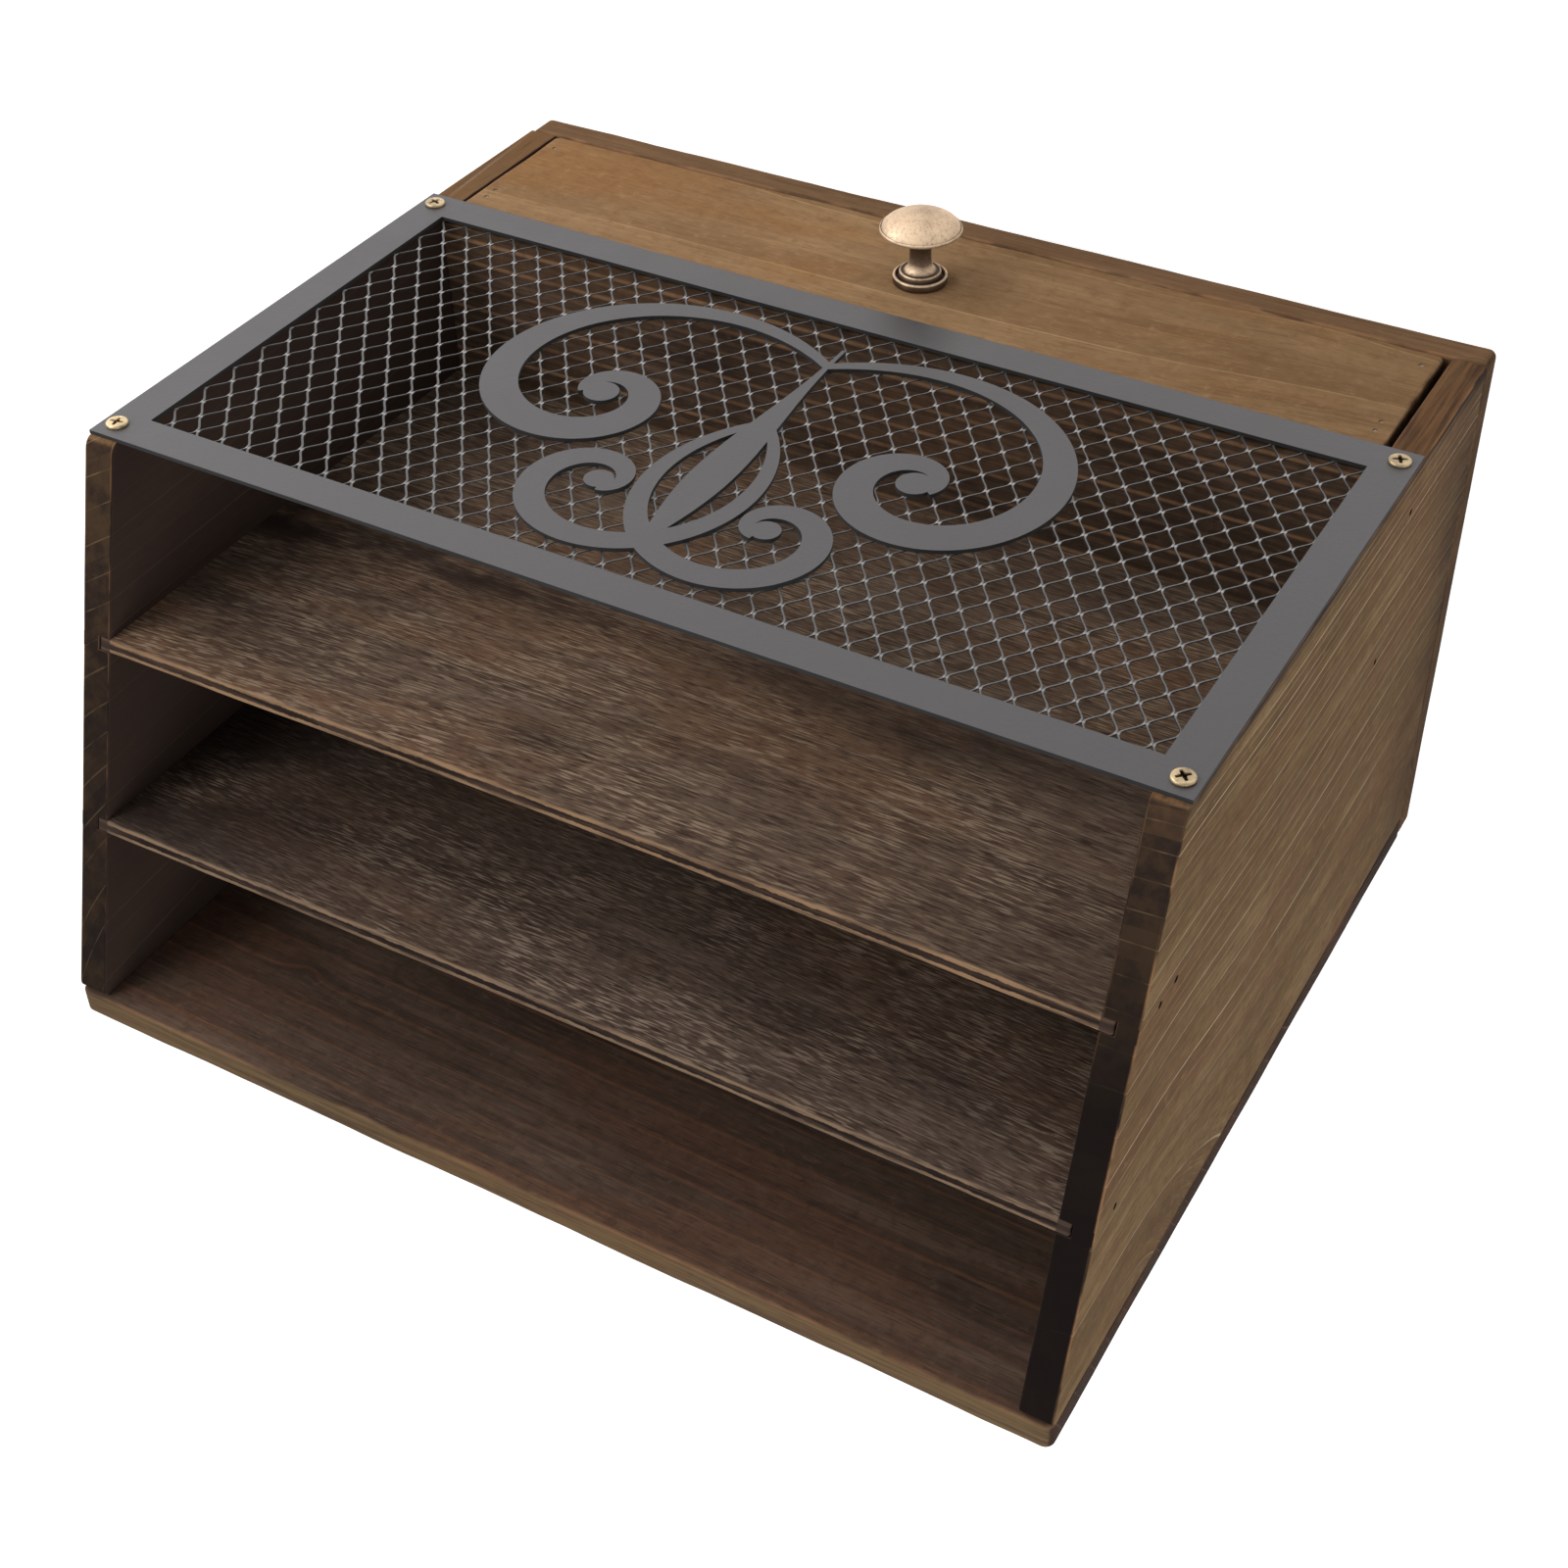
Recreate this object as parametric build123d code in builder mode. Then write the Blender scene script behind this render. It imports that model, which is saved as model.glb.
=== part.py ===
"""Desk letter box: a pine case with three upright mail slots and a drawer below them.

The front of the slots is closed by expanded steel mesh in a black steel frame, with a flat
scrollwork ornament on the mesh. The drawer slides forwards, towards -Y, on the base board.

Frame of the model, in millimetres: the origin is the centre of the base board's underside,
+Z is up, the front faces -Y, and +X is to the right when the box is seen from the front.
"""

import os
from math import atan2, cos, exp, hypot, log, pi, sin

from build123d import *

os.makedirs("parts", exist_ok=True)

# ---------------------------------------------------------------------------
# Driving dimensions, millimetres
# ---------------------------------------------------------------------------

# Case boards
case_width = 330.0
case_depth = 180.0
front_height = 230.0  # top of the side panels at the front
back_height = 282.0  # top of the back board, and of the side panels where they meet it
base_thickness = 10.0
side_thickness = 10.0
back_thickness = 9.0
shelf_thickness = 10.0
divider_thickness = 4.0
drawer_opening_height = 56.0
front_divider_setback = 56.0  # from the case front to the divider's front face
rear_divider_setback = 112.0
shelf_setback = 2.0  # leaves room for the mesh behind the frame's lower rail
groove_depth = 4.0
groove_clearance = 0.1  # on each side of a divider
groove_end_clearance = 0.2  # at each end of a divider
board_corner_radius = 3.0  # rounded corners of the base and back boards
edge_ease = 0.8  # sanded edges of the case boards
base_edge_ease = 1.5

# Steel front
frame_drop = 2.0  # frame's upper edge below the side panels' front corner
frame_rail_width = 12.0
frame_thickness = 1.2
mesh_thickness = 1.0
mesh_pitch_x = 9.0  # short way of the diamond
mesh_pitch_z = 12.85  # long way of the diamond
mesh_strand_width = 1.1
mesh_lap = 4.0  # behind the upper and lower rails
mesh_side_clearance = 0.5  # to each side panel
ornament_thickness = 1.2

# Drawer
drawer_gap_left = 2.0  # the drawer sits towards the right of its opening
drawer_gap_right = 0.5
drawer_gap_top = 0.8
drawer_gap_bottom = 0.3
drawer_gap_back = 0.3  # the drawer's back stops against the back board
drawer_front_thickness = 10.0
drawer_front_ease = 1.2
drawer_side_thickness = 8.0
drawer_side_inset = 0.5  # drawer sides stand this much inside the front's ends
drawer_side_drop = 2.5  # drawer sides below the front's top
drawer_bottom_thickness = 3.0

# Knob: a mushroom knob with a stepped foot
knob_height = 31.5  # axis above the drawer front's lower edge
knob_foot_diameter = 16.8
knob_foot_thickness = 3.0
knob_ring_diameter = 12.4
knob_ring_thickness = 1.3
knob_stem_diameter = 6.6
knob_neck_height = 13.0  # where the stem starts to flare into the cap
knob_cap_diameter = 25.0
knob_cap_height = 17.0  # underside of the cap's rim above the drawer front
knob_rim_thickness = 1.4
knob_rim_width = 1.5  # flat under the cap, outside the flare
knob_dome_height = 4.4
knob_hole_diameter = 4.0
knob_hole_depth = 10.0

# Fasteners
screw_head_diameter = 6.4
screw_head_height = 2.0
screw_head_ease = 1.0
screw_shank_diameter = 2.9
screw_length = 12.0  # under the head
cross_width = 0.8  # of the crossed recess in each screw's head
cross_length = 3.4
cross_depth = 1.0
frame_hole_diameter = 3.4
nail_diameter = 1.2
nail_length = 20.0
nail_sink = 0.3  # nail heads lie below the wood's surface
bottom_nail_length = 12.0
edge_nail_inset = 20.0  # from a board's end to its first nail
shelf_nail_setback = 14.0
divider_nail_inset = 12.0  # from a divider's upper end to its nails
divider_foot_nail_inset = 6.0
divider_nail_spacing = 10.0
drawer_nail_inset = 5.0  # from the edge of a drawer side to its nails
fastener_clearance = 0.02  # around a nail or a screw in its hole
knob_screw_head_diameter = 8.0
knob_screw_head_height = 2.4
knob_screw_diameter = 3.9
knob_screw_grip = 8.0  # thread inside the knob
knob_screw_hole_diameter = 4.5

# Scrollwork: two pairs of spirals around an upright spear, mirrored left and right.
# Places are measured from the middle of the window
volute_eye_x = 50.0
volute_eye_z = -4.0
volute_start_z = -46.0
volute_turns = 1.45
volute_eye_radius = 5.2
volute_thin = 3.0  # stroke at its ends
volute_thick = 11.5  # stroke at its widest
spiral_skew = 0.75  # under 1, a spiral stroke is widest before its middle
curl_eye_x = 26.0
curl_eye_z = 34.0
curl_start_z = -12.0
curl_turns = -1.35  # winds the other way
curl_eye_radius = 4.2
curl_thin = 2.6
curl_thick = 8.5
spear_length = 112.0
spear_width = 12.2
spear_tip_width = 1.2
spear_skew = 1.6  # over 1, the spear is widest above its middle
swell_sharpness = 1.2  # how quickly each stroke thins away from its widest place

# ---------------------------------------------------------------------------
# Derived sizes and places
# ---------------------------------------------------------------------------

half_width = case_width / 2
half_depth = case_depth / 2
front_y = -half_depth
back_face_y = half_depth - back_thickness  # front face of the back board
side_depth = back_face_y - front_y
inner_half_width = half_width - side_thickness
shelf_z = base_thickness + drawer_opening_height
shelf_top = shelf_z + shelf_thickness
slope = (back_height - front_height) / side_depth
groove_width = divider_thickness + 2 * groove_clearance

frame_bottom = shelf_z
frame_top = front_height - frame_drop
frame_height = frame_top - frame_bottom
frame_middle = (frame_top + frame_bottom) / 2
window_width = case_width - 2 * frame_rail_width
window_height = frame_height - 2 * frame_rail_width
mesh_width = 2 * (inner_half_width - mesh_side_clearance)
mesh_height = window_height + 2 * mesh_lap
fixing_x = half_width - side_thickness / 2  # screws and nails into the side panels' edges
screw_zs = (frame_bottom + frame_rail_width / 2, frame_top - frame_rail_width / 2)

drawer_left = -inner_half_width + drawer_gap_left
drawer_right = inner_half_width - drawer_gap_right
drawer_width = drawer_right - drawer_left
drawer_middle = (drawer_left + drawer_right) / 2
drawer_z = base_thickness + drawer_gap_bottom
drawer_top = shelf_z - drawer_gap_top
drawer_front_back = front_y + drawer_front_thickness
drawer_end = back_face_y - drawer_gap_back
drawer_box_length = drawer_end - drawer_front_back
drawer_box_left = drawer_left + drawer_side_inset
drawer_box_right = drawer_right - drawer_side_inset
drawer_box_width = drawer_box_right - drawer_box_left
drawer_side_z = drawer_z + drawer_bottom_thickness
drawer_side_height = drawer_top - drawer_side_drop - drawer_side_z
knob_z = drawer_z + knob_height

front_plane = Plane.XZ.offset(half_depth)  # faces -Y, local axes are X and Z


def top_at(setback):
    """Height of the sloping top at a distance behind the case front."""
    return front_height + slope * setback


def sink_nails(plane, points, depth, inwards=-1):
    """Cut nail holes from a plane into the part being built, along its normal times inwards."""
    with BuildSketch(plane) as holes:
        with Locations(*points):
            Circle(nail_diameter / 2 + fastener_clearance)
    extrude(holes.sketch, amount=inwards * depth, mode=Mode.SUBTRACT)


def place_nails(plane, points, length, inwards=-1):
    """Add headless nails whose ends lie just below a plane."""
    with BuildSketch(plane.offset(inwards * nail_sink)) as shanks:
        with Locations(*points):
            Circle(nail_diameter / 2)
    extrude(shanks.sketch, amount=inwards * length)


# Nail places, each list in the local axes of the plane that its nails are driven from
front_divider_middle = front_y + front_divider_setback + divider_thickness / 2
rear_divider_middle = front_y + rear_divider_setback + divider_thickness / 2
shelf_middle_z = shelf_z + shelf_thickness / 2
shelf_nails_at = [(front_y + shelf_nail_setback, shelf_middle_z)]
front_divider_nails_at = [
    (front_divider_middle, shelf_top + divider_foot_nail_inset),
    (front_divider_middle, top_at(front_divider_setback) - divider_nail_inset),
    (front_divider_middle, top_at(front_divider_setback) - divider_nail_inset - divider_nail_spacing),
]
rear_divider_nails_at = [(rear_divider_middle, top_at(rear_divider_setback) - divider_nail_inset)]
side_nails_at = shelf_nails_at + front_divider_nails_at + rear_divider_nails_at

back_middle_y = half_depth - back_thickness / 2
base_side_nails_at = [
    (side * fixing_x, y)
    for side in (-1, 1)
    for y in (front_y + edge_nail_inset, 0, back_face_y - edge_nail_inset)
]
base_back_nails_at = [(x, back_middle_y) for x in (-half_width / 2, 0, half_width / 2)]
back_side_nails_at = [
    (side * fixing_x, z)
    for side in (-1, 1)
    for z in (base_thickness + edge_nail_inset, shelf_top + edge_nail_inset, back_height - edge_nail_inset)
]
back_shelf_nails_at = [(x, shelf_middle_z) for x in (-half_width / 2, 0, half_width / 2)]

drawer_side_top = drawer_side_z + drawer_side_height
drawer_side_xs = (
    drawer_box_left + drawer_side_thickness / 2,
    drawer_box_right - drawer_side_thickness / 2,
)
drawer_front_nail_zs = (
    drawer_side_z + drawer_nail_inset,
    drawer_side_top - 2 * drawer_nail_inset,
    drawer_side_top - drawer_nail_inset,
)
drawer_bottom_nail_ys = (drawer_front_back + edge_nail_inset, drawer_end - 2 * edge_nail_inset)
drawer_front_nails_at = [(x, z) for x in drawer_side_xs for z in drawer_front_nail_zs]
drawer_back_middle_y = drawer_end - drawer_side_thickness / 2
drawer_back_nails_at = [
    (drawer_back_middle_y, z)
    for z in (drawer_side_z + 2 * drawer_nail_inset, drawer_side_top - 2 * drawer_nail_inset)
]
drawer_bottom_nails_at = [(x, y) for x in drawer_side_xs for y in drawer_bottom_nail_ys] + [
    (drawer_middle + dx, drawer_back_middle_y) for dx in (-edge_nail_inset, edge_nail_inset)
]

left_outer = Plane.YZ.offset(-half_width)
right_outer = Plane.YZ.offset(half_width)
back_outer = Plane.XZ.offset(-half_depth)

# ---------------------------------------------------------------------------
# Case boards
# ---------------------------------------------------------------------------

with BuildPart() as base_board:
    with BuildSketch(Plane.XY):
        RectangleRounded(case_width, case_depth, board_corner_radius)
    extrude(amount=base_thickness)
    fillet(base_board.faces().filter_by(Axis.Z).edges(), base_edge_ease)
    sink_nails(Plane.XY, base_side_nails_at + base_back_nails_at, base_thickness, 1)


def side_panel(outer_plane, inwards):
    """One side panel, from its outer face inwards, with the grooves for the dividers."""
    inner_plane = outer_plane.offset(inwards * side_thickness)
    with BuildPart() as panel:
        with BuildSketch(outer_plane):
            with BuildLine():
                Polyline(
                    (front_y, base_thickness),
                    (back_face_y, base_thickness),
                    (back_face_y, back_height),
                    (front_y, front_height),
                    close=True,
                )
            make_face()
        extrude(amount=inwards * side_thickness)
        outer_face, inner_face = faces().filter_by(Axis.X).sort_by(Axis.X, reverse=inwards < 0)
        top_edge = inner_face.edges().sort_by(Axis.Z)[-1]
        front_edge = inner_face.edges().sort_by(Axis.Y)[0]
        fillet([*outer_face.edges(), top_edge, front_edge], edge_ease)
        with BuildSketch(inner_plane):
            for setback in (front_divider_setback, rear_divider_setback):
                with Locations((front_y + setback - groove_clearance, shelf_top)):
                    Rectangle(groove_width, back_height, align=(Align.MIN, Align.MIN))
        extrude(amount=-inwards * groove_depth, mode=Mode.SUBTRACT)
        sink_nails(outer_plane, side_nails_at, side_thickness, inwards)
        side_x = outer_plane.origin.X + inwards * side_thickness / 2
        sink_nails(
            Plane.XY.offset(base_thickness),
            [point for point in base_side_nails_at if point[0] * side_x > 0],
            nail_length + nail_sink - base_thickness,
            1,
        )
        sink_nails(
            Plane.XZ.offset(-back_face_y),
            [point for point in back_side_nails_at if point[0] * side_x > 0],
            nail_length + nail_sink - back_thickness,
            1,
        )
        with BuildSketch(front_plane):
            with Locations(*[(side_x, z) for z in screw_zs]):
                Circle(screw_shank_diameter / 2 + fastener_clearance)
        extrude(amount=-screw_length, mode=Mode.SUBTRACT)
    return panel


left_side = side_panel(left_outer, 1)
right_side = side_panel(right_outer, -1)

with BuildPart() as back_board:
    with BuildSketch(Plane.XZ.offset(-back_face_y)):
        with Locations((0, base_thickness)):
            Rectangle(case_width, back_height - base_thickness, align=(Align.CENTER, Align.MIN))
    extrude(amount=-back_thickness)
    upper_corners = back_board.edges().filter_by(Axis.Y).sort_by(Axis.Z)[-2:]
    fillet(upper_corners, board_corner_radius)
    fillet(back_board.faces().sort_by(Axis.Y)[-1].edges(), edge_ease)
    fillet(back_board.faces().sort_by(Axis.Y)[0].edges().sort_by(Axis.Z)[-1:], edge_ease)
    sink_nails(back_outer, back_side_nails_at + back_shelf_nails_at, back_thickness, 1)
    sink_nails(
        Plane.XY.offset(base_thickness), base_back_nails_at, nail_length + nail_sink - base_thickness, 1
    )

with BuildPart() as drawer_shelf:
    shelf_front = front_y + shelf_setback
    with BuildSketch(Plane.XY.offset(shelf_z)):
        with Locations((0, shelf_front)):
            Rectangle(2 * inner_half_width, back_face_y - shelf_front, align=(Align.CENTER, Align.MIN))
    extrude(amount=shelf_thickness)
    shelf_nail_reach = nail_length + nail_sink
    sink_nails(left_outer, shelf_nails_at, shelf_nail_reach, 1)
    sink_nails(right_outer, shelf_nails_at, shelf_nail_reach, -1)
    sink_nails(back_outer, back_shelf_nails_at, shelf_nail_reach, 1)


def divider(setback, nail_points):
    """A plywood divider from side to side, standing on the shelf, cut to the sloping top."""
    width = 2 * (inner_half_width + groove_depth - groove_end_clearance)
    front, rear = setback, setback + divider_thickness
    with BuildPart() as board:
        with BuildSketch(Plane.YZ.offset(-width / 2)):
            with BuildLine():
                Polyline(
                    (front_y + front, shelf_top),
                    (front_y + rear, shelf_top),
                    (front_y + rear, top_at(rear)),
                    (front_y + front, top_at(front)),
                    close=True,
                )
            make_face()
        extrude(amount=width)
        sink_nails(left_outer, nail_points, nail_length + nail_sink, 1)
        sink_nails(right_outer, nail_points, nail_length + nail_sink, -1)
    return board


front_divider = divider(front_divider_setback, front_divider_nails_at)
rear_divider = divider(rear_divider_setback, rear_divider_nails_at)

# ---------------------------------------------------------------------------
# Steel front
# ---------------------------------------------------------------------------

screws_at = [(side * fixing_x, z) for side in (-1, 1) for z in screw_zs]

with BuildPart() as mesh_frame:
    with BuildSketch(front_plane):
        with Locations((0, frame_middle)):
            Rectangle(case_width, frame_height)
            Rectangle(window_width, window_height, mode=Mode.SUBTRACT)
        with Locations(*screws_at):
            Circle(frame_hole_diameter / 2, mode=Mode.SUBTRACT)
    extrude(amount=frame_thickness)

# Half-diagonals of a mesh opening: the diamond between strand centre lines, less half a strand
strand_distance = mesh_pitch_x * mesh_pitch_z / hypot(mesh_pitch_x, mesh_pitch_z) / 2
opening_share = 1 - mesh_strand_width / 2 / strand_distance
opening_x = mesh_pitch_x / 2 * opening_share
opening_z = mesh_pitch_z / 2 * opening_share
mesh_columns = 2 * int(mesh_width / mesh_pitch_x / 2) + 1
mesh_rows = 2 * int(mesh_height / mesh_pitch_z / 2) + 1

with BuildPart() as mesh_grille:
    with BuildSketch(front_plane):
        with Locations((0, frame_middle)):
            Rectangle(mesh_width, mesh_height)
            for extra in (0, 1):
                with GridLocations(mesh_pitch_x, mesh_pitch_z, mesh_columns + extra, mesh_rows + extra):
                    Polygon(
                        (opening_x, 0), (0, opening_z), (-opening_x, 0), (0, -opening_z),
                        mode=Mode.SUBTRACT,
                    )
    extrude(amount=-mesh_thickness)


def spiral(eye, start, turns, end_radius):
    """Path from a start point round to an eye, its radius shrinking by equal shares."""
    start_radius = hypot(start[0] - eye[0], start[1] - eye[1])
    start_angle = atan2(start[1] - eye[1], start[0] - eye[0])

    def path(t):
        radius = start_radius * exp(log(end_radius / start_radius) * t)
        angle = start_angle + 2 * pi * turns * t
        return eye[0] + radius * cos(angle), eye[1] + radius * sin(angle)

    return path


def swell(thin, thick, t, skew):
    """Width at a share t of a stroke that is thin at both ends and thick between."""
    return thin + (thick - thin) * max(0, sin(pi * t**skew)) ** swell_sharpness


def spiral_stroke(path, thin, thick):
    """Draw a flat stroke of varying width along a path given as a function of 0 to 1."""
    step = 1e-3  # share of the path on each side of a point, for its direction
    steps = 48
    outer, inner = [], []
    for index in range(steps + 1):
        t = index / steps
        (x, z), (x0, z0), (x1, z1) = path(t), path(t - step), path(t + step)
        reach = swell(thin, thick, t, spiral_skew) / 2 / hypot(x1 - x0, z1 - z0)
        outer.append((x + (z0 - z1) * reach, z + (x1 - x0) * reach))
        inner.append((x - (z0 - z1) * reach, z - (x1 - x0) * reach))
    with BuildLine() as outline:
        Spline(*outer)
        Line(outer[-1], inner[-1])
        Spline(*inner)
        Line(inner[0], outer[0])
    make_face(outline.edges())


def spear():
    """Draw the upright spear, a blade with slender ends."""
    steps = 16
    edge = []
    for index in range(steps + 1):
        t = index / steps
        edge.append((swell(spear_tip_width, spear_width, t, spear_skew) / 2, spear_length * (t - 0.5)))
    with BuildLine() as outline:
        Spline(*edge)
        Line(edge[-1], (-edge[-1][0], edge[-1][1]))
        Spline(*[(-x, z) for x, z in edge])
        Line((-edge[0][0], edge[0][1]), edge[0])
    make_face(outline.edges())


with BuildPart() as scroll_ornament:
    with BuildSketch(Plane(origin=(0, front_y, frame_middle), x_dir=(1, 0, 0), z_dir=(0, -1, 0))):
        volute_eye = (volute_eye_x, volute_eye_z)
        curl_eye = (curl_eye_x, curl_eye_z)
        volute = spiral(volute_eye, (0, volute_start_z), volute_turns, volute_eye_radius)
        curl = spiral(curl_eye, (0, curl_start_z), curl_turns, curl_eye_radius)
        spiral_stroke(volute, volute_thin, volute_thick)
        spiral_stroke(curl, curl_thin, curl_thick)
        for eye, radius in ((volute_eye, volute_eye_radius), (curl_eye, curl_eye_radius)):
            with Locations(eye):
                Circle(radius)
        mirror(about=Plane.YZ)
        spear()
    extrude(amount=ornament_thickness)


def cross_recess(plane, points):
    """Sink the crossed recess of a screw's head into the part being built."""
    with BuildSketch(plane) as cross:
        with Locations(*points):
            Rectangle(cross_length, cross_width)
            Rectangle(cross_width, cross_length)
    extrude(cross.sketch, amount=-cross_depth, mode=Mode.SUBTRACT)


with BuildPart() as frame_screws:
    frame_face = front_plane.offset(frame_thickness)
    with BuildSketch(frame_face):
        with Locations(*screws_at):
            Circle(screw_head_diameter / 2)
    extrude(amount=screw_head_height)
    fillet(faces().group_by(Axis.Y)[0].edges(), screw_head_ease)
    cross_recess(frame_face.offset(screw_head_height), screws_at)
    with BuildSketch(frame_face):
        with Locations(*screws_at):
            Circle(screw_shank_diameter / 2)
    extrude(amount=-screw_length)

with BuildPart() as side_nails:
    place_nails(left_outer, side_nails_at, nail_length, 1)
    place_nails(right_outer, side_nails_at, nail_length)

with BuildPart() as base_nails:
    place_nails(Plane.XY, base_side_nails_at + base_back_nails_at, nail_length, 1)

with BuildPart() as back_nails:
    place_nails(back_outer, back_side_nails_at + back_shelf_nails_at, nail_length, 1)

# ---------------------------------------------------------------------------
# Drawer
# ---------------------------------------------------------------------------

drawer_inner_width = drawer_box_width - 2 * drawer_side_thickness
drawer_front_inner = Plane.XZ.offset(-drawer_front_back)
drawer_underside = Plane.XY.offset(drawer_z)
drawer_bottom_top = Plane.XY.offset(drawer_side_z)
drawer_bottom_nail_reach = bottom_nail_length + nail_sink - drawer_bottom_thickness

with BuildPart() as drawer_front:
    with BuildSketch(drawer_front_inner):
        with Locations((drawer_middle, drawer_z)):
            Rectangle(drawer_width, drawer_top - drawer_z, align=(Align.CENTER, Align.MIN))
    extrude(amount=drawer_front_thickness)
    fillet(faces().sort_by(Axis.Y)[0].edges(), drawer_front_ease)
    sink_nails(front_plane, drawer_front_nails_at, drawer_front_thickness)
    with BuildSketch(front_plane):
        with Locations((drawer_middle, knob_z)):
            Circle(knob_screw_hole_diameter / 2)
    extrude(amount=-drawer_front_thickness, mode=Mode.SUBTRACT)


def drawer_side(outer_x, inwards):
    """One side of the drawer's box, from its outer face inwards."""
    outer_plane = Plane.YZ.offset(outer_x)
    side_x = outer_x + inwards * drawer_side_thickness / 2
    with BuildPart() as board:
        with BuildSketch(outer_plane):
            with Locations((drawer_front_back, drawer_side_z)):
                Rectangle(drawer_box_length, drawer_side_height, align=(Align.MIN, Align.MIN))
        extrude(amount=inwards * drawer_side_thickness)
        sink_nails(outer_plane, drawer_back_nails_at, drawer_side_thickness, inwards)
        sink_nails(
            drawer_front_inner,
            [(side_x, z) for z in drawer_front_nail_zs],
            nail_length + nail_sink - drawer_front_thickness,
        )
        sink_nails(
            drawer_bottom_top,
            [(side_x, y) for y in drawer_bottom_nail_ys],
            drawer_bottom_nail_reach,
            1,
        )
    return board


drawer_left_side = drawer_side(drawer_box_left, 1)
drawer_right_side = drawer_side(drawer_box_right, -1)

with BuildPart() as drawer_back:
    with BuildSketch(Plane.XZ.offset(-drawer_end)):
        with Locations((drawer_middle, drawer_side_z)):
            Rectangle(drawer_inner_width, drawer_side_height, align=(Align.CENTER, Align.MIN))
    extrude(amount=drawer_side_thickness)
    drawer_back_nail_reach = nail_length + nail_sink
    sink_nails(Plane.YZ.offset(drawer_box_left), drawer_back_nails_at, drawer_back_nail_reach, 1)
    sink_nails(Plane.YZ.offset(drawer_box_right), drawer_back_nails_at, drawer_back_nail_reach)
    sink_nails(drawer_bottom_top, drawer_bottom_nails_at, drawer_bottom_nail_reach, 1)

with BuildPart() as drawer_bottom:
    with BuildSketch(drawer_underside):
        with Locations((drawer_middle, drawer_front_back)):
            Rectangle(drawer_box_width, drawer_box_length, align=(Align.CENTER, Align.MIN))
    extrude(amount=drawer_bottom_thickness)
    sink_nails(drawer_underside, drawer_bottom_nails_at, drawer_bottom_thickness, 1)

# The knob is turned about an axis through the drawer front. Its profile is drawn on a level
# plane: local x is the radius, and local y the distance in front of the drawer.
knob_axis = Axis((drawer_middle, front_y, knob_z), (0, -1, 0))
knob_plane = Plane(origin=(drawer_middle, front_y, knob_z), x_dir=(1, 0, 0), z_dir=(0, 0, -1))
knob_shoulder = knob_foot_thickness + knob_ring_thickness
knob_top = knob_cap_height + knob_rim_thickness + knob_dome_height

with BuildPart() as knob:
    with BuildSketch(knob_plane):
        with BuildLine():
            foot = Polyline(
                (0, 0),
                (knob_foot_diameter / 2, 0),
                (knob_foot_diameter / 2, knob_foot_thickness),
                (knob_ring_diameter / 2, knob_foot_thickness),
                (knob_ring_diameter / 2, knob_shoulder),
                (knob_stem_diameter / 2, knob_shoulder),
                (knob_stem_diameter / 2, knob_neck_height),
            )
            flare = Spline(
                foot @ 1,
                (knob_cap_diameter / 2 - knob_rim_width, knob_cap_height),
                tangents=[(0, 1), (1, 0)],
            )
            rim = Polyline(
                flare @ 1,
                (knob_cap_diameter / 2, knob_cap_height),
                (knob_cap_diameter / 2, knob_cap_height + knob_rim_thickness),
            )
            TangentArc((0, knob_top), rim @ 1, tangent=(1, 0))
            Line((0, knob_top), (0, 0))
        make_face()
    revolve(axis=knob_axis)
    with BuildSketch(front_plane):
        with Locations((drawer_middle, knob_z)):
            Circle(knob_hole_diameter / 2)
    extrude(amount=knob_hole_depth, mode=Mode.SUBTRACT)

with BuildPart() as knob_screw:
    with BuildSketch(drawer_front_inner):
        with Locations((drawer_middle, knob_z)):
            Circle(knob_screw_head_diameter / 2)
    extrude(amount=-knob_screw_head_height)
    fillet(faces().sort_by(Axis.Y)[-1].edges(), screw_head_ease)
    knob_screw_face = Plane(
        origin=(0, drawer_front_back + knob_screw_head_height, 0), x_dir=(1, 0, 0), z_dir=(0, 1, 0)
    )
    cross_recess(knob_screw_face, [(drawer_middle, -knob_z)])
    with BuildSketch(drawer_front_inner):
        with Locations((drawer_middle, knob_z)):
            Circle(knob_screw_diameter / 2)
    extrude(amount=drawer_front_thickness + knob_screw_grip)

with BuildPart() as drawer_front_nails:
    place_nails(front_plane, drawer_front_nails_at, nail_length)

with BuildPart() as drawer_back_nails:
    place_nails(Plane.YZ.offset(drawer_box_left), drawer_back_nails_at, nail_length, 1)
    place_nails(Plane.YZ.offset(drawer_box_right), drawer_back_nails_at, nail_length)

with BuildPart() as drawer_bottom_nails:
    place_nails(drawer_underside, drawer_bottom_nails_at, bottom_nail_length, 1)

# ---------------------------------------------------------------------------
# Labels and files
# ---------------------------------------------------------------------------

pieces = {
    "base_board": base_board,
    "left_side": left_side,
    "right_side": right_side,
    "back_board": back_board,
    "drawer_shelf": drawer_shelf,
    "front_divider": front_divider,
    "rear_divider": rear_divider,
    "mesh_frame": mesh_frame,
    "mesh_grille": mesh_grille,
    "scroll_ornament": scroll_ornament,
    "frame_screws": frame_screws,
    "side_nails": side_nails,
    "base_nails": base_nails,
    "back_nails": back_nails,
    "drawer_front": drawer_front,
    "drawer_left_side": drawer_left_side,
    "drawer_right_side": drawer_right_side,
    "drawer_back": drawer_back,
    "drawer_bottom": drawer_bottom,
    "knob": knob,
    "knob_screw": knob_screw,
    "drawer_front_nails": drawer_front_nails,
    "drawer_back_nails": drawer_back_nails,
    "drawer_bottom_nails": drawer_bottom_nails,
}

for name, piece in pieces.items():
    piece.part.label = name
    # A short form of the file, without curves on surfaces: the mesh has thousands of edges
    export_step(piece.part, f"parts/{name}.step", write_pcurves=False)
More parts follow.
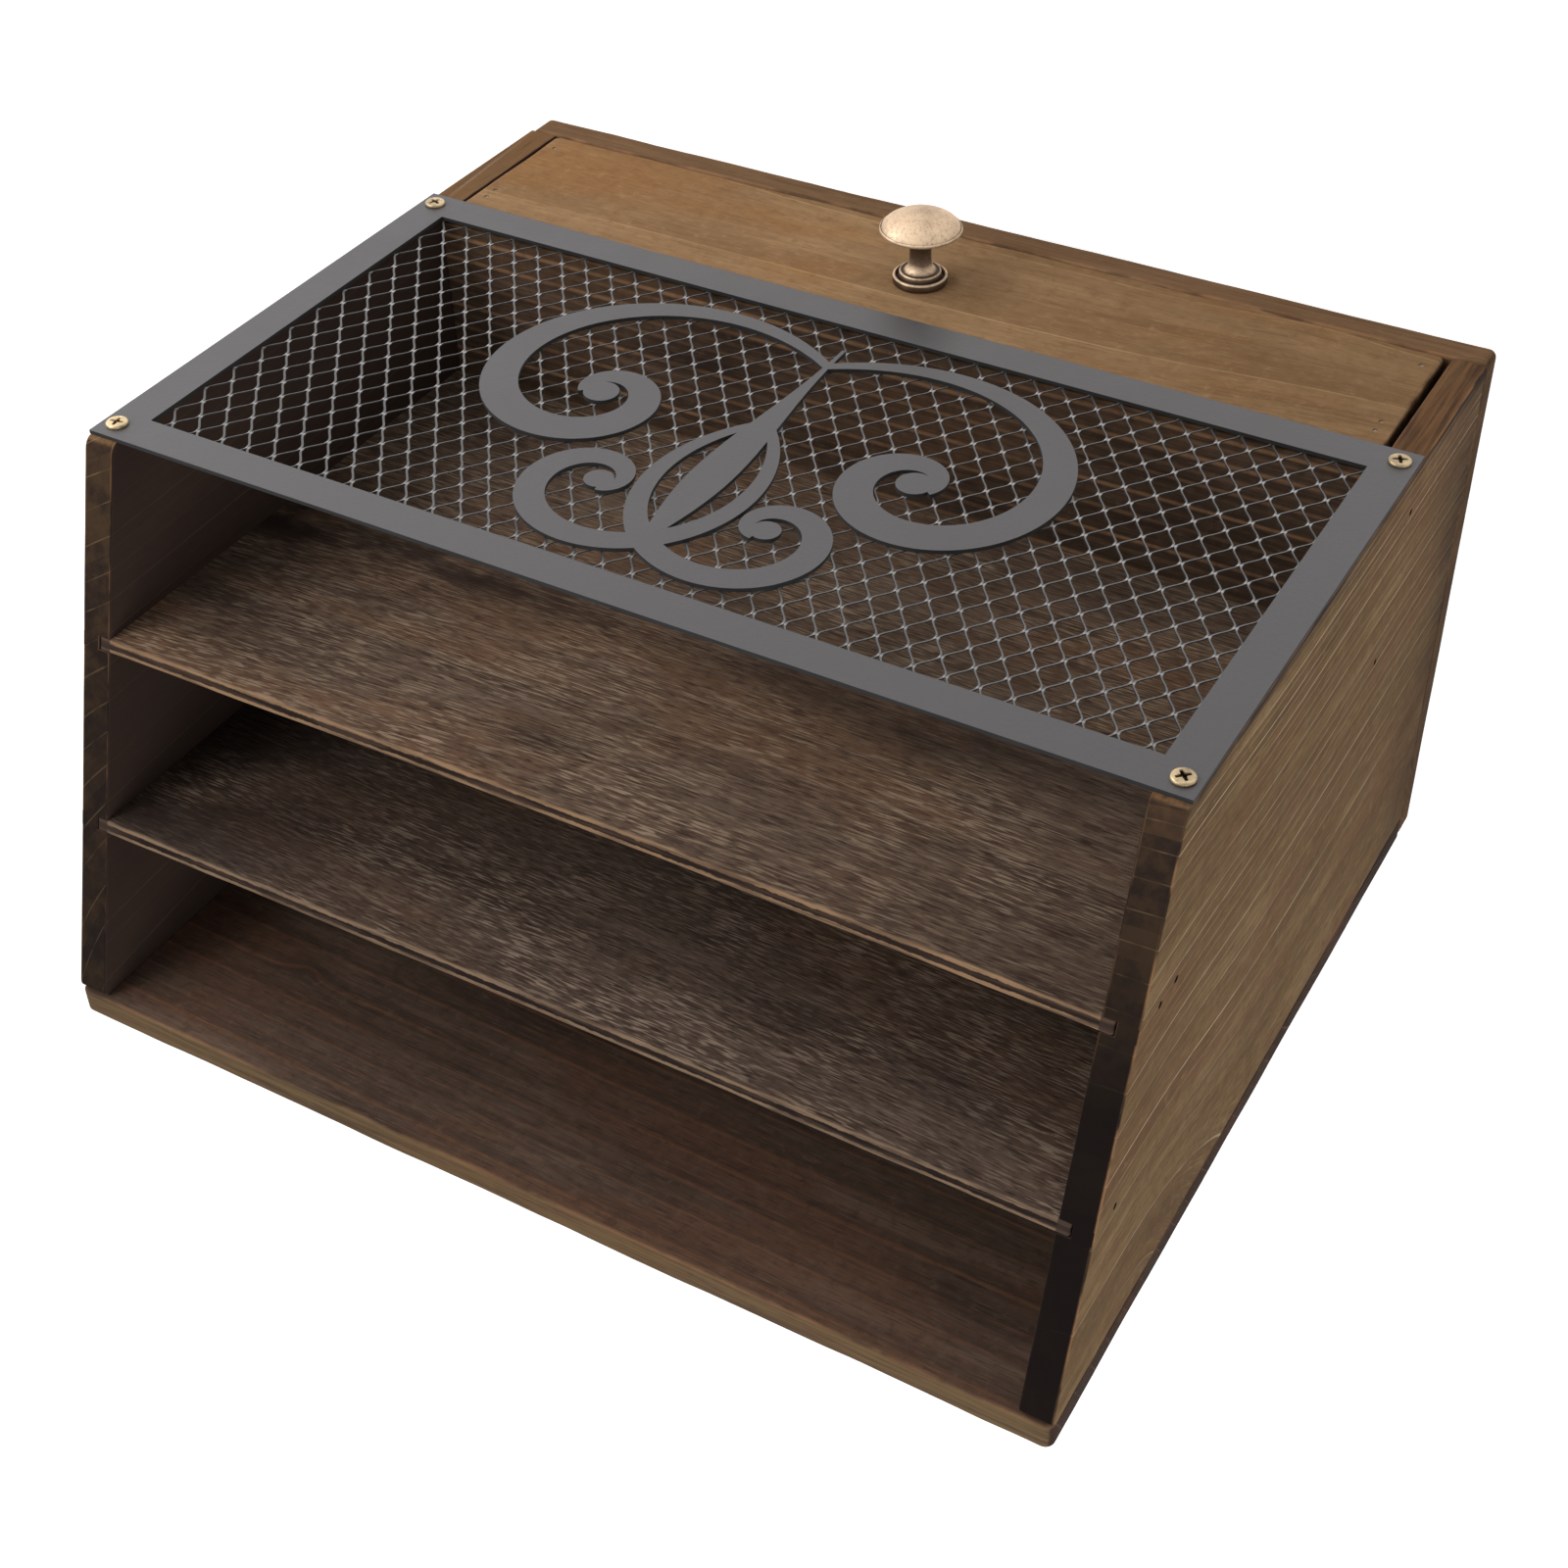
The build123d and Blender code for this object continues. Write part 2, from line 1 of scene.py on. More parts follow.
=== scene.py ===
"""Looks of a desk letter box: stained pine boards, plywood dividers, a black steel front and a brass knob.

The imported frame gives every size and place. Boards are rebuilt as eased, slightly uneven slabs, the
expanded mesh as wave-shaped strands, and the knob and screws as turned surfaces. Everything is in metres.
"""

import logging
import math
from dataclasses import dataclass, field, replace
from enum import Enum, IntEnum
from typing import Sequence, Union

import bmesh
import bpy
import numpy as np
from mathutils import Matrix, Vector


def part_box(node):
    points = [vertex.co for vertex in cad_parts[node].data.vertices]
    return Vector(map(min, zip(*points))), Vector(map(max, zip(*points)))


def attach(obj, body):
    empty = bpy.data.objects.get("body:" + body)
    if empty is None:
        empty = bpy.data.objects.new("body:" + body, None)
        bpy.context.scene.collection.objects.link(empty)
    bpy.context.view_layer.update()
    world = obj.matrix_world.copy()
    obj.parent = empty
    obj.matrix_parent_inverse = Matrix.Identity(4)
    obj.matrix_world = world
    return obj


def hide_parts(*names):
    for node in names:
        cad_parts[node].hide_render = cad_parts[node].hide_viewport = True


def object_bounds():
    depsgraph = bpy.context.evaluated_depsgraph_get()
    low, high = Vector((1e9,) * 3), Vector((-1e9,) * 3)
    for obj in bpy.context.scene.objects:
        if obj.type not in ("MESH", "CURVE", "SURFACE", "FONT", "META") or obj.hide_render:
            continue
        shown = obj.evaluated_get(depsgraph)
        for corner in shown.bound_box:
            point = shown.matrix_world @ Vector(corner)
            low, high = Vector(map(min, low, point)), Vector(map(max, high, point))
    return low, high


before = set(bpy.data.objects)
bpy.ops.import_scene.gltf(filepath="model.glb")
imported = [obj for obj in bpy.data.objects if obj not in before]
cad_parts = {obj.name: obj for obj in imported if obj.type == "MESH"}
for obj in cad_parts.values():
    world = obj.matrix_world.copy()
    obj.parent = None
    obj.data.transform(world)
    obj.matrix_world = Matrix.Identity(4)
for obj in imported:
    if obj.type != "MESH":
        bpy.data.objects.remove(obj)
CAD_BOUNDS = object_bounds()

log = logging.getLogger("letter_box")

MM = 0.001
Socket = Union[bpy.types.NodeSocket, float]
Colour = tuple[float, float, float, float]
Point = tuple[float, float, float]


class Axis(Enum):
    """A direction of the object: its index in a point."""

    X = 0
    Y = 1
    Z = 2


def paint(red: int, green: int, blue: int) -> Colour:
    """Turns a display colour of 0 to 255 into the linear colour that a shader takes.

    Args:
        red: Red share, 0 to 255.
        green: Green share, 0 to 255.
        blue: Blue share, 0 to 255.

    Returns:
        Linear red, green and blue, and an alpha of 1.
    """
    shares = np.array([red, green, blue]) / 255
    linear = np.where(shares <= 0.04045, shares / 12.92, ((shares + 0.055) / 1.055) ** 2.4)
    return (*map(float, linear), 1.0)


# ---------------------------------------------------------------------------
# Mesh tools
# ---------------------------------------------------------------------------


def waves(points: np.ndarray, seed: int, length: float, count: int = 7) -> np.ndarray:
    """Gives a smooth random height at each point.

    The height is the sum of plane waves in random directions, with wavelengths around the given one and
    random phases, divided by half their number.

    Args:
        points: Places, one row each, in metres.
        seed: Seed of the random directions and phases.
        length: Typical wavelength in metres.
        count: Number of waves.

    Returns:
        One height for each point, mostly between -1 and 1.
    """
    dice = np.random.default_rng(seed)
    directions = dice.normal(size=(3, count))
    directions /= np.linalg.norm(directions, axis=0)
    numbers = 2 * np.pi / (length * dice.uniform(0.6, 1.7, count))
    phases = dice.uniform(0, 2 * np.pi, count)
    return np.sin(points @ (directions * numbers) + phases).sum(1) / (count / 2)


def make_piece(
    name: str, points: np.ndarray, faces: np.ndarray, sharp_degrees: float = 40
) -> bpy.types.Object:
    """Makes a smooth-shaded mesh object at the origin from arrays.

    Args:
        name: Name of the piece.
        points: Vertices, one row each, in metres.
        faces: Corner numbers, one row of three or four for each face.
        sharp_degrees: Edges that turn by more than this angle stay sharp.

    Returns:
        The new object, linked to the scene.
    """
    mesh = bpy.data.meshes.new(name)
    sides = faces.shape[1]
    mesh.vertices.add(len(points))
    mesh.vertices.foreach_set("co", points.astype(np.float32).ravel())
    mesh.loops.add(faces.size)
    mesh.loops.foreach_set("vertex_index", faces.astype(np.int32).ravel())
    mesh.polygons.add(len(faces))
    mesh.polygons.foreach_set("loop_start", np.arange(0, faces.size, sides, dtype=np.int32))
    mesh.polygons.foreach_set("use_smooth", np.ones(len(faces), bool))
    mesh.update(calc_edges=True)
    mesh.validate()
    mesh.set_sharp_from_angle(angle=math.radians(sharp_degrees))
    piece = bpy.data.objects.new(name, mesh)
    bpy.context.scene.collection.objects.link(piece)
    return piece


def store(piece: bpy.types.Object, name: str, values: np.ndarray) -> None:
    """Stores one number for each vertex of a piece, under a name that its finish reads."""
    attribute = piece.data.attributes.new(name, "FLOAT", "POINT")
    attribute.data.foreach_set("value", values.astype(np.float32))


def box_lattice(lines: Sequence[np.ndarray]) -> tuple[np.ndarray, np.ndarray]:
    """Makes the closed surface of a box whose faces are ruled by given lines.

    The points are those of a three-way lattice that lie on its outside, and each face of the box is a
    grid of quads between them.

    Args:
        lines: Rising coordinates along X, Y and Z.

    Returns:
        The points, one row each, and the quads' corner numbers, facing outwards.
    """
    shape = tuple(len(line) for line in lines)
    index = np.indices(shape)
    last = np.array(shape).reshape(3, 1, 1, 1) - 1
    outside = ((index == 0) | (index == last)).any(0)
    number = np.full(shape, -1)
    number[outside] = np.arange(outside.sum())
    points = np.stack([line[i[outside]] for line, i in zip(lines, index)], 1)
    quads = []
    for axis in range(3):
        for end in (0, -1):
            side = np.take(number, end, axis)
            if (end == 0) == (axis != 1):
                side = side.T
            corners = side[:-1, :-1], side[1:, :-1], side[1:, 1:], side[:-1, 1:]
            quads.append(np.stack([corner.ravel() for corner in corners], 1))
    return points, np.concatenate(quads)


def ruled(
    low: float, high: float, cell: float, near_edge: Sequence[float], extra: Sequence[float]
) -> np.ndarray:
    """Chooses the lines that rule a slab along one axis.

    Args:
        low: First coordinate.
        high: Last coordinate.
        cell: Widest distance between two lines.
        near_edge: Distances from each end at which a line is needed.
        extra: Coordinates that must be lines.

    Returns:
        Rising coordinates from low to high.
    """
    near = np.array([d for d in near_edge if d < (high - low) / 2])
    start, stop = low + near[-1], high - near[-1]
    middle = np.linspace(start, stop, max(2, int(np.ceil((stop - start) / cell)) + 1))
    lines = np.unique(np.concatenate([low + near, middle, high - near]))
    wanted = np.unique([x for x in extra if low < x < high])
    if len(wanted):
        clear = np.abs(lines[:, None] - wanted[None]).min(1) > 0.12 * MM
        clear[[0, -1]] = True
        lines = np.unique(np.concatenate([lines[clear], wanted]))
    return lines


def ring_quads(rings: int, segments: int) -> np.ndarray:
    """Joins rings of points, numbered one ring after another, with quads.

    Args:
        rings: Number of rings.
        segments: Points in each ring.

    Returns:
        The quads' corner numbers, one row each.
    """
    ring, step = np.meshgrid(np.arange(rings - 1), np.arange(segments), indexing="ij")
    after = (step + 1) % segments
    first, second = ring * segments, (ring + 1) * segments
    corners = first + step, first + after, second + after, second + step
    return np.stack([corner.ravel() for corner in corners], 1)


def turned(profile: np.ndarray, centre: Point, segments: int) -> tuple[np.ndarray, np.ndarray]:
    """Turns a profile about an axis that points forwards, along -Y.

    A point of the profile at radius r and height h goes round the circle of radius r, a distance h in
    front of the centre. The first and last points lie on the axis and close the surface.

    Args:
        profile: Radius and height of each point, from the back of the axis to its front.
        centre: Foot of the axis.
        segments: Points round each circle.

    Returns:
        The points, and the quads' corner numbers.
    """
    angles = np.linspace(0, 2 * np.pi, segments, endpoint=False)
    radius, height = profile[:, :1], profile[:, 1:2]
    x = centre[0] + radius * np.cos(angles)
    y = centre[1] - height * np.ones(segments)
    z = centre[2] + radius * np.sin(angles)
    return np.stack([x, y, z], 2).reshape(-1, 3), ring_quads(len(profile), segments)


def merge_doubles(piece: bpy.types.Object, distance: float) -> None:
    """Merges the vertices of a piece that lie closer together than a distance.

    Its faces are turned outwards again afterwards.

    Args:
        piece: The piece.
        distance: Vertices closer than this become one.
    """
    shape = bmesh.new()
    shape.from_mesh(piece.data)
    bmesh.ops.remove_doubles(shape, verts=shape.verts, dist=distance)
    bmesh.ops.recalc_face_normals(shape, faces=shape.faces)
    shape.to_mesh(piece.data)
    shape.free()


# ---------------------------------------------------------------------------
# Finishes
# ---------------------------------------------------------------------------


class Shading:
    """The node tree of one material, written as calls that return sockets."""

    def __init__(self, name: str) -> None:
        """Starts an empty material.

        Args:
            name: Name of the material.
        """
        self.material = bpy.data.materials.new(name)
        self.material.use_nodes = True
        self.nodes = self.material.node_tree.nodes
        self.links = self.material.node_tree.links
        self.nodes.clear()
        self.output = self.nodes.new("ShaderNodeOutputMaterial")
        self.shader = self.nodes.new("ShaderNodeBsdfPrincipled")
        self.links.new(self.shader.outputs[0], self.output.inputs["Surface"])

    def plug(self, socket: bpy.types.NodeSocket, value: object) -> None:
        """Links a socket to another one, or sets its value.

        Args:
            socket: The input socket.
            value: The output socket to link to it, or the value.
        """
        if isinstance(value, bpy.types.NodeSocket):
            self.links.new(value, socket)
        else:
            socket.default_value = value

    def math(self, operation: str, *values: Socket, clamp: bool = False) -> bpy.types.NodeSocket:
        """Adds a Math node.

        Args:
            operation: Name of the operation.
            values: Its inputs.
            clamp: Whether the result is held between 0 and 1.

        Returns:
            The result.
        """
        node = self.nodes.new("ShaderNodeMath")
        node.operation = operation
        node.use_clamp = clamp
        for socket, value in zip(node.inputs, values):
            self.plug(socket, value)
        return node.outputs[0]

    def total(self, values: Sequence[Socket], shares: Sequence[float], start: Socket = 0.0) -> Socket:
        """Adds each value times its share to a first value, leaving out the shares of 0.

        Args:
            values: Values to add.
            shares: How much of each is added.
            start: The first value.

        Returns:
            The sum.
        """
        for value, share in zip(values, shares):
            if share:
                start = self.math("MULTIPLY_ADD", value, share, start)
        return start

    def vector(self, x: Socket, y: Socket, z: Socket) -> bpy.types.NodeSocket:
        """Joins three numbers into a vector.

        Args:
            x: First number.
            y: Second number.
            z: Third number.

        Returns:
            The vector.
        """
        node = self.nodes.new("ShaderNodeCombineXYZ")
        for socket, value in zip(node.inputs, (x, y, z)):
            self.plug(socket, value)
        return node.outputs[0]

    def place(self, kind: str = "Object") -> list[bpy.types.NodeSocket]:
        """Gives the three coordinates of the shaded point, or of its normal.

        Args:
            kind: "Object" for the point, "Normal" for its normal.

        Returns:
            The three coordinates.
        """
        split = self.nodes.new("ShaderNodeSeparateXYZ")
        self.links.new(self.nodes.new("ShaderNodeTexCoord").outputs[kind], split.inputs[0])
        return list(split.outputs)

    def stored(self, name: str) -> bpy.types.NodeSocket:
        """Reads a number that the mesh stores at its vertices.

        Args:
            name: Name that it is stored under.

        Returns:
            The number.
        """
        node = self.nodes.new("ShaderNodeAttribute")
        node.attribute_name = name
        return node.outputs["Fac"]

    def noise(
        self, place: Socket, scale: float, detail: float = 3, roughness: float = 0.5, shift: float = 0
    ) -> bpy.types.NodeSocket:
        """Adds a Noise texture.

        Args:
            place: Where it is read.
            scale: Waves for each unit of the place.
            detail: Octaves of finer noise.
            roughness: Strength of each finer octave.
            shift: Fourth coordinate, which picks another pattern.

        Returns:
            The noise, between 0 and 1 and mostly near 0.5.
        """
        node = self.nodes.new("ShaderNodeTexNoise")
        node.noise_dimensions = "4D"
        values = {"Vector": place, "W": shift, "Scale": scale, "Detail": detail, "Roughness": roughness}
        for key, value in values.items():
            self.plug(node.inputs[key], value)
        return node.outputs[0]

    def ramp(
        self, value: Socket, low: float, high: float, start: float = 0, end: float = 1
    ) -> bpy.types.NodeSocket:
        """Maps a number smoothly from one range to another and holds it there.

        Args:
            value: The number.
            low: Where its range begins, which may be above its end.
            high: Where its range ends.
            start: Result at its beginning.
            end: Result at its end.

        Returns:
            The result.
        """
        node = self.nodes.new("ShaderNodeMapRange")
        node.interpolation_type = "SMOOTHSTEP"
        for socket, item in zip(node.inputs, (value, low, high, start, end)):
            self.plug(socket, item)
        return node.outputs[0]

    def mix(self, share: Socket, first: object, second: object) -> bpy.types.NodeSocket:
        """Mixes two colours: the share is that of the second.

        Args:
            share: Share of the second colour, 0 to 1.
            first: First colour.
            second: Second colour.

        Returns:
            The mixed colour.
        """
        node = self.nodes.new("ShaderNodeMix")
        node.data_type = "RGBA"
        self.plug(node.inputs[0], share)
        self.plug(node.inputs[6], first)
        self.plug(node.inputs[7], second)
        return node.outputs[2]

    def bump(self, height: Socket, depth: float) -> None:
        """Gives the surface a relief.

        Args:
            height: Height, between 0 and 1.
            depth: Metres between a height of 0 and 1.
        """
        node = self.nodes.new("ShaderNodeBump")
        node.inputs["Strength"].default_value = 1.0
        node.inputs["Distance"].default_value = depth
        self.plug(node.inputs["Height"], height)
        self.links.new(node.outputs[0], self.shader.inputs["Normal"])

    def surface(self, **values: object) -> bpy.types.Material:
        """Sets the shader's own sockets, whose names are written with underscores.

        Args:
            values: A value or socket for each of the shader's sockets, by name.

        Returns:
            The finished material.
        """
        for key, value in values.items():
            self.plug(self.shader.inputs[key.replace("_", " ")], value)
        return self.material


@dataclass(frozen=True)
class Trunk:
    """Where a board lay in its tree, in metres: this shapes its growth lines.

    Attributes:
        across: Place of the tree's heart along the board's width.
        depth: Distance of the heart from the board, through its thickness.
        taper: Change of that distance for each metre along the grain.
        spacing: Distance between two growth rings.
        shift: Rings added to the count, which moves every line.
        jitter: How unevenly the rings are spaced.
        power: 1 where the rings are evenly spaced, 2 where they lie closer with distance from the heart.
    """

    across: float
    depth: float
    taper: float = 0.0
    spacing: float = 8.7 * MM
    shift: float = 0.0
    jitter: float = 1.3
    power: float = 1.0


@dataclass(frozen=True)
class Bend:
    """A place where the growth lines swell round, as beside a knot, in metres.

    Attributes:
        along: Its place along the grain.
        across: Its place over the board's width.
        long: How far it reaches along the grain.
        wide: How far it reaches across.
        lift: How far the lines move.
        dark: How much darker the wood is there, 0 to 1: pooled stain at some bends, painted shade at others.
        warm: How much redder wood shows there, 0 to 1.
        sink: How far the tree's heart comes nearer there.
        calm: How far the growth lines fade there, 0 to 1.
    """

    along: float
    across: float
    long: float
    wide: float
    lift: float = 0.0
    dark: float = 0.0
    warm: float = 0.0
    sink: float = 0.0
    calm: float = 0.0


@dataclass(frozen=True)
class Palette:
    """The colours of one stained wood.

    Attributes:
        ground: Main colour.
        deep: Colour where more stain went in.
        pale: Colour where less went in.
        warm: Redder colour that clouds it here and there.
        line: Colour of the hard growth lines.
        edge: Colour of the faces that look along the board's width.
        dark: Colour of end grain, grime and shaded faces.
        worn: Colour of rubbed arrises.
    """

    ground: Colour
    deep: Colour
    pale: Colour
    warm: Colour
    line: Colour
    edge: Colour
    dark: Colour
    worn: Colour


class Pattern(IntEnum):
    """The noise patterns of a wood: each has its own fourth coordinate, counted from the wood's seed."""

    BEND = 0
    SPACING = 3
    SOFT = 4
    FIBRE = 5
    HAIR = 6
    BLOTCH = 7
    CLOUD = 8
    DASH = 9
    DASH_PLACE = 10
    SAW = 11
    GRIT = 12
    RUB = 13
    END = 14
    DRIFT = 15
    DARK_DASH = 16


@dataclass(frozen=True)
class Mark:
    """Marks of one kind in the wood.

    Attributes:
        long: Their length along the grain.
        fine: Their width across it.
        detail: Octaves of finer noise.
        pattern: Noise pattern that lays them.
    """

    long: float
    fine: float
    detail: float
    pattern: Pattern


SOFT = Mark(130 * MM, 7 * MM, 2, Pattern.SOFT)
FIBRE = Mark(34 * MM, 1.3 * MM, 4, Pattern.FIBRE)
HAIR = Mark(9 * MM, 0.5 * MM, 3, Pattern.HAIR)
PORE = Mark(5 * MM, 0.22 * MM, 1, Pattern.GRIT)
DASH = Mark(11 * MM, 0.36 * MM, 1, Pattern.DASH)
DARK_DASH = Mark(11 * MM, 0.45 * MM, 2, Pattern.DARK_DASH)


@dataclass(frozen=True)
class StainedWood:
    """Stained, brushed softwood whose hard growth lines stay paler.

    Attributes:
        name: Name of the material.
        along: Direction of the grain.
        across: Direction over the board's width.
        through: Direction through its thickness.
        palette: Its colours.
        trunk: Where the board lay in its tree.
        line_width: Width of a growth line in metres.
        line_strength: How clearly the lines show, 0 to 1.
        fleck: How clearly short pale flecks show, 0 to 1.
        wear: How clearly the eased arrises are rubbed pale, 0 to 1.
        contrast: How far the stain varies, 1 for usual.
        grain: Length of the fibres, 1 for long and straight ones.
        seed: Picks another pattern of noise.
        bends: Places where the growth lines swell or the stain pools.
        plies: Whether its edges show a pale, a dark and a pale layer.
        ends: How far its ends keep the colour of its faces, 0 to 1.
    """

    name: str
    along: Axis
    across: Axis
    through: Axis
    palette: Palette
    trunk: Trunk
    line_width: float = 0.35 * MM
    line_strength: float = 0.6
    fleck: float = 0.0
    wear: float = 0.3
    contrast: float = 1.0
    grain: float = 1.0
    seed: float = 0.0
    bends: tuple[Bend, ...] = ()
    plies: bool = False
    ends: float = 0.0

    def dress(self) -> bpy.types.Material:
        """Builds the material: a matt stain over a fine relief of fibres, growth lines and saw marks.

        Returns:
            The material.
        """
        s = Shading(self.name)
        figure = Figure(s, self)
        colour = figure.stained()
        if self.fleck:
            colour = figure.flecked(colour)
        colour = figure.pitted(colour)
        colour = figure.cut(colour)
        colour = figure.used(colour)
        s.bump(figure.relief(), 0.14 * MM)
        return s.surface(Base_Color=colour, Roughness=s.ramp(figure.fibre, 0.3, 0.75, 0.45, 0.65), IOR=1.03)


class Figure:
    """The figure of one wood: where a shaded point lay in its tree, and how the stain took there.

    The distance from the tree's heart divided by the ring spacing counts the rings: a whole number is a
    growth line. Streaks, fibres and pores are noise stretched along the grain and laid along the rings;
    blotches and clouds are coarse noise. Together they set how much stain went in.
    """

    def __init__(self, s: Shading, wood: StainedWood) -> None:
        """Works out what the colours share.

        Args:
            s: Tree to add to.
            wood: The wood.
        """
        self.s, self.wood, self.look = s, wood, wood.palette
        axes, self.normal = s.place(), s.place("Normal")
        directions = wood.along, wood.across, wood.through
        self.along, self.across, self.through = (axes[axis.value] for axis in directions)
        self.spot = s.vector(self.along, self.across, self.through)
        self.half = self.stretched(0.5)
        self.heart, bells = self.from_heart()
        self.pool, self.warm, self.calm = (
            s.total(bells, shares)
            for shares in zip(*[(bend.dark, bend.warm, bend.calm) for bend in wood.bends] or [(0, 0, 0)])
        )
        self.rings, self.apart = self.count()
        self.nearest, self.off_line, self.line = self.lines()
        self.fibre, self.hair = self.marks(FIBRE), self.marks(HAIR)
        self.blotch = self.noise(self.half, 34, 5, 0.6, Pattern.BLOTCH)
        self.grit = self.noise(self.spot, 260, 4, 0.65, Pattern.GRIT)
        self.end_on = s.ramp(self.facing(wood.along), 0.55, 0.8)

    def noise(self, place: Socket, scale: float, detail: float, roughness: float, pattern: float) -> Socket:
        """Reads one of the wood's own noise patterns."""
        return self.s.noise(place, scale, detail, roughness, self.wood.seed + pattern)

    def stretched(self, share: float) -> Socket:
        """Gives the shaded point with its place along the grain shrunk, so that noise stretches along it."""
        return self.s.vector(self.s.math("MULTIPLY", self.along, share), self.across, self.through)

    def facing(self, axis: Axis) -> Socket:
        """Says how squarely the surface faces along a direction, from 0 to 1."""
        return self.s.math("ABSOLUTE", self.normal[axis.value])

    def marks(self, mark: Mark) -> Socket:
        """Gives noise with marks of one kind, laid along the grain and the rings.

        Args:
            mark: The kind of mark.

        Returns:
            The noise, between 0 and 1.
        """
        sizes = (self.along, mark.long * self.wood.grain), (self.heart, mark.fine), (self.through, mark.fine)
        place = self.s.vector(*(self.s.math("DIVIDE", value, size) for value, size in sizes))
        return self.noise(place, 1, mark.detail, 0.55, mark.pattern)

    def from_heart(self) -> tuple[Socket, list[Socket]]:
        """Gives the distance from the tree's heart, bent by noise and by the bends.

        Returns:
            The distance, and how near each bend is, from 0 to 1.
        """
        s, trunk, bends = self.s, self.wood.trunk, self.wood.bends
        bend = s.math("SUBTRACT", self.noise(self.stretched(0.22), 16, 2, 0.4, Pattern.BEND), 0.5)
        wide = s.math("MULTIPLY_ADD", bend, 7 * MM, s.math("SUBTRACT", self.across, trunk.across))
        deep = s.math("ADD", s.math("MULTIPLY_ADD", self.along, trunk.taper, trunk.depth), self.through)
        bells = []
        for spot in bends:
            length = s.math("DIVIDE", s.math("SUBTRACT", self.along, spot.along), spot.long)
            width = s.math("DIVIDE", s.math("SUBTRACT", self.across, spot.across), spot.wide)
            far = s.math("ADD", s.math("POWER", length, 2), s.math("POWER", width, 2))
            bells.append(s.math("POWER", math.e, s.math("MULTIPLY", far, -1)))
        deep = s.total(bells, [-spot.sink for spot in bends], deep)
        heart = s.math("SQRT", s.math("ADD", s.math("POWER", wide, 2), s.math("POWER", deep, 2)))
        return s.total(bells, [spot.lift for spot in bends], heart), bells

    def count(self) -> tuple[Socket, Socket]:
        """Counts the growth rings, unevenly spaced, as a power of the distance from the heart.

        Returns:
            The number of rings, and the distance between two of them there.
        """
        s, trunk = self.s, self.wood.trunk
        uneven = s.math("SUBTRACT", self.noise(s.vector(self.heart, 0, 0), 60, 2, 0.6, Pattern.SPACING), 0.5)
        turns = s.math("DIVIDE", self.heart, trunk.spacing)
        rings = s.math("MULTIPLY_ADD", uneven, trunk.jitter, s.math("POWER", turns, trunk.power))
        apart = s.math("MULTIPLY", s.math("POWER", turns, 1 - trunk.power), trunk.spacing / trunk.power)
        return s.math("ADD", rings, trunk.shift), apart

    def growth(self, shift: float, width: float) -> tuple[Socket, Socket, Socket]:
        """Draws one set of growth lines, each with its own strength and broken here and there.

        Args:
            shift: Share of a ring by which the set is moved.
            width: Width of a line in metres.

        Returns:
            The number of the nearest line, its distance, and how clearly it shows.
        """
        s, seed = self.s, self.wood.seed
        moved = s.math("ADD", self.rings, shift)
        nearest = s.math("ROUND", moved)
        off = s.math("MULTIPLY", s.math("ABSOLUTE", s.math("SUBTRACT", moved, nearest)), self.apart)
        place = s.vector(s.math("MULTIPLY", self.along, 12), s.math("MULTIPLY", nearest, 3.7), seed + shift)
        broken = s.ramp(s.noise(place, 1, 2, 0.6), 0.34, 0.58, 0.1, 1.0)
        own = s.noise(s.vector(s.math("MULTIPLY", nearest, 5.3), shift, seed), 1, 0)
        clear = s.math("MULTIPLY", broken, s.ramp(own, 0.34, 0.58, 0.4, 1.0))
        return nearest, off, s.math("MULTIPLY", s.ramp(off, width, 0.1 * width), clear)

    def lines(self) -> tuple[Socket, Socket, Socket]:
        """Draws the growth lines, with a second, faint set between them.

        Returns:
            The number of the nearest line, its distance, and how clearly the lines show.
        """
        s, wood = self.s, self.wood
        nearest, off, line = self.growth(0, wood.line_width)
        faint = self.growth(0.41, 1.2 * wood.line_width)[2]
        line = s.math("MULTIPLY", s.math("MULTIPLY_ADD", faint, 0.3, line, clamp=True), wood.line_strength)
        return nearest, off, s.math("MULTIPLY", line, s.math("SUBTRACT", 1, self.calm, clamp=True))

    def stained(self) -> Socket:
        """Colours the face by how much stain went in, and draws the growth lines over it.

        Returns:
            The colour.
        """
        s, look, contrast = self.s, self.look, self.wood.contrast
        tone = s.math("MULTIPLY", self.marks(SOFT), 0.28)
        cloud = self.noise(self.spot, 11, 3, 0.5, Pattern.CLOUD)
        for layer, share in ((self.fibre, 0.24), (self.blotch, 0.3), (cloud, 0.18)):
            tone = s.math("MULTIPLY_ADD", layer, share, tone)
        spread = 0.11 / contrast
        colour = s.mix(s.ramp(tone, 0.5 - spread, 0.5), look.deep, look.ground)
        colour = s.mix(s.ramp(tone, 0.5, 0.5 + spread), colour, look.pale)
        drift = self.noise(self.stretched(0.35), 30, 3, 0.5, Pattern.DRIFT)
        colour = s.mix(s.ramp(drift, 0.46, 0.62, 0, 0.8), colour, look.warm)
        warm = s.math("MULTIPLY", self.warm, s.ramp(self.fibre, 0.3, 0.6, 0.6, 1.0), clamp=True)
        colour = s.mix(warm, colour, look.warm)
        colour = s.mix(s.ramp(s.math("FRACT", self.rings), 0.3, 1.0, 0, 0.4), colour, look.deep)
        colour = s.mix(s.ramp(self.hair, 0.52, 0.7, 0, 0.75 * contrast), colour, look.deep)
        colour = s.mix(s.ramp(self.hair, 0.47, 0.28, 0, 0.7 * contrast), colour, look.pale)
        return s.mix(self.line, colour, look.line)

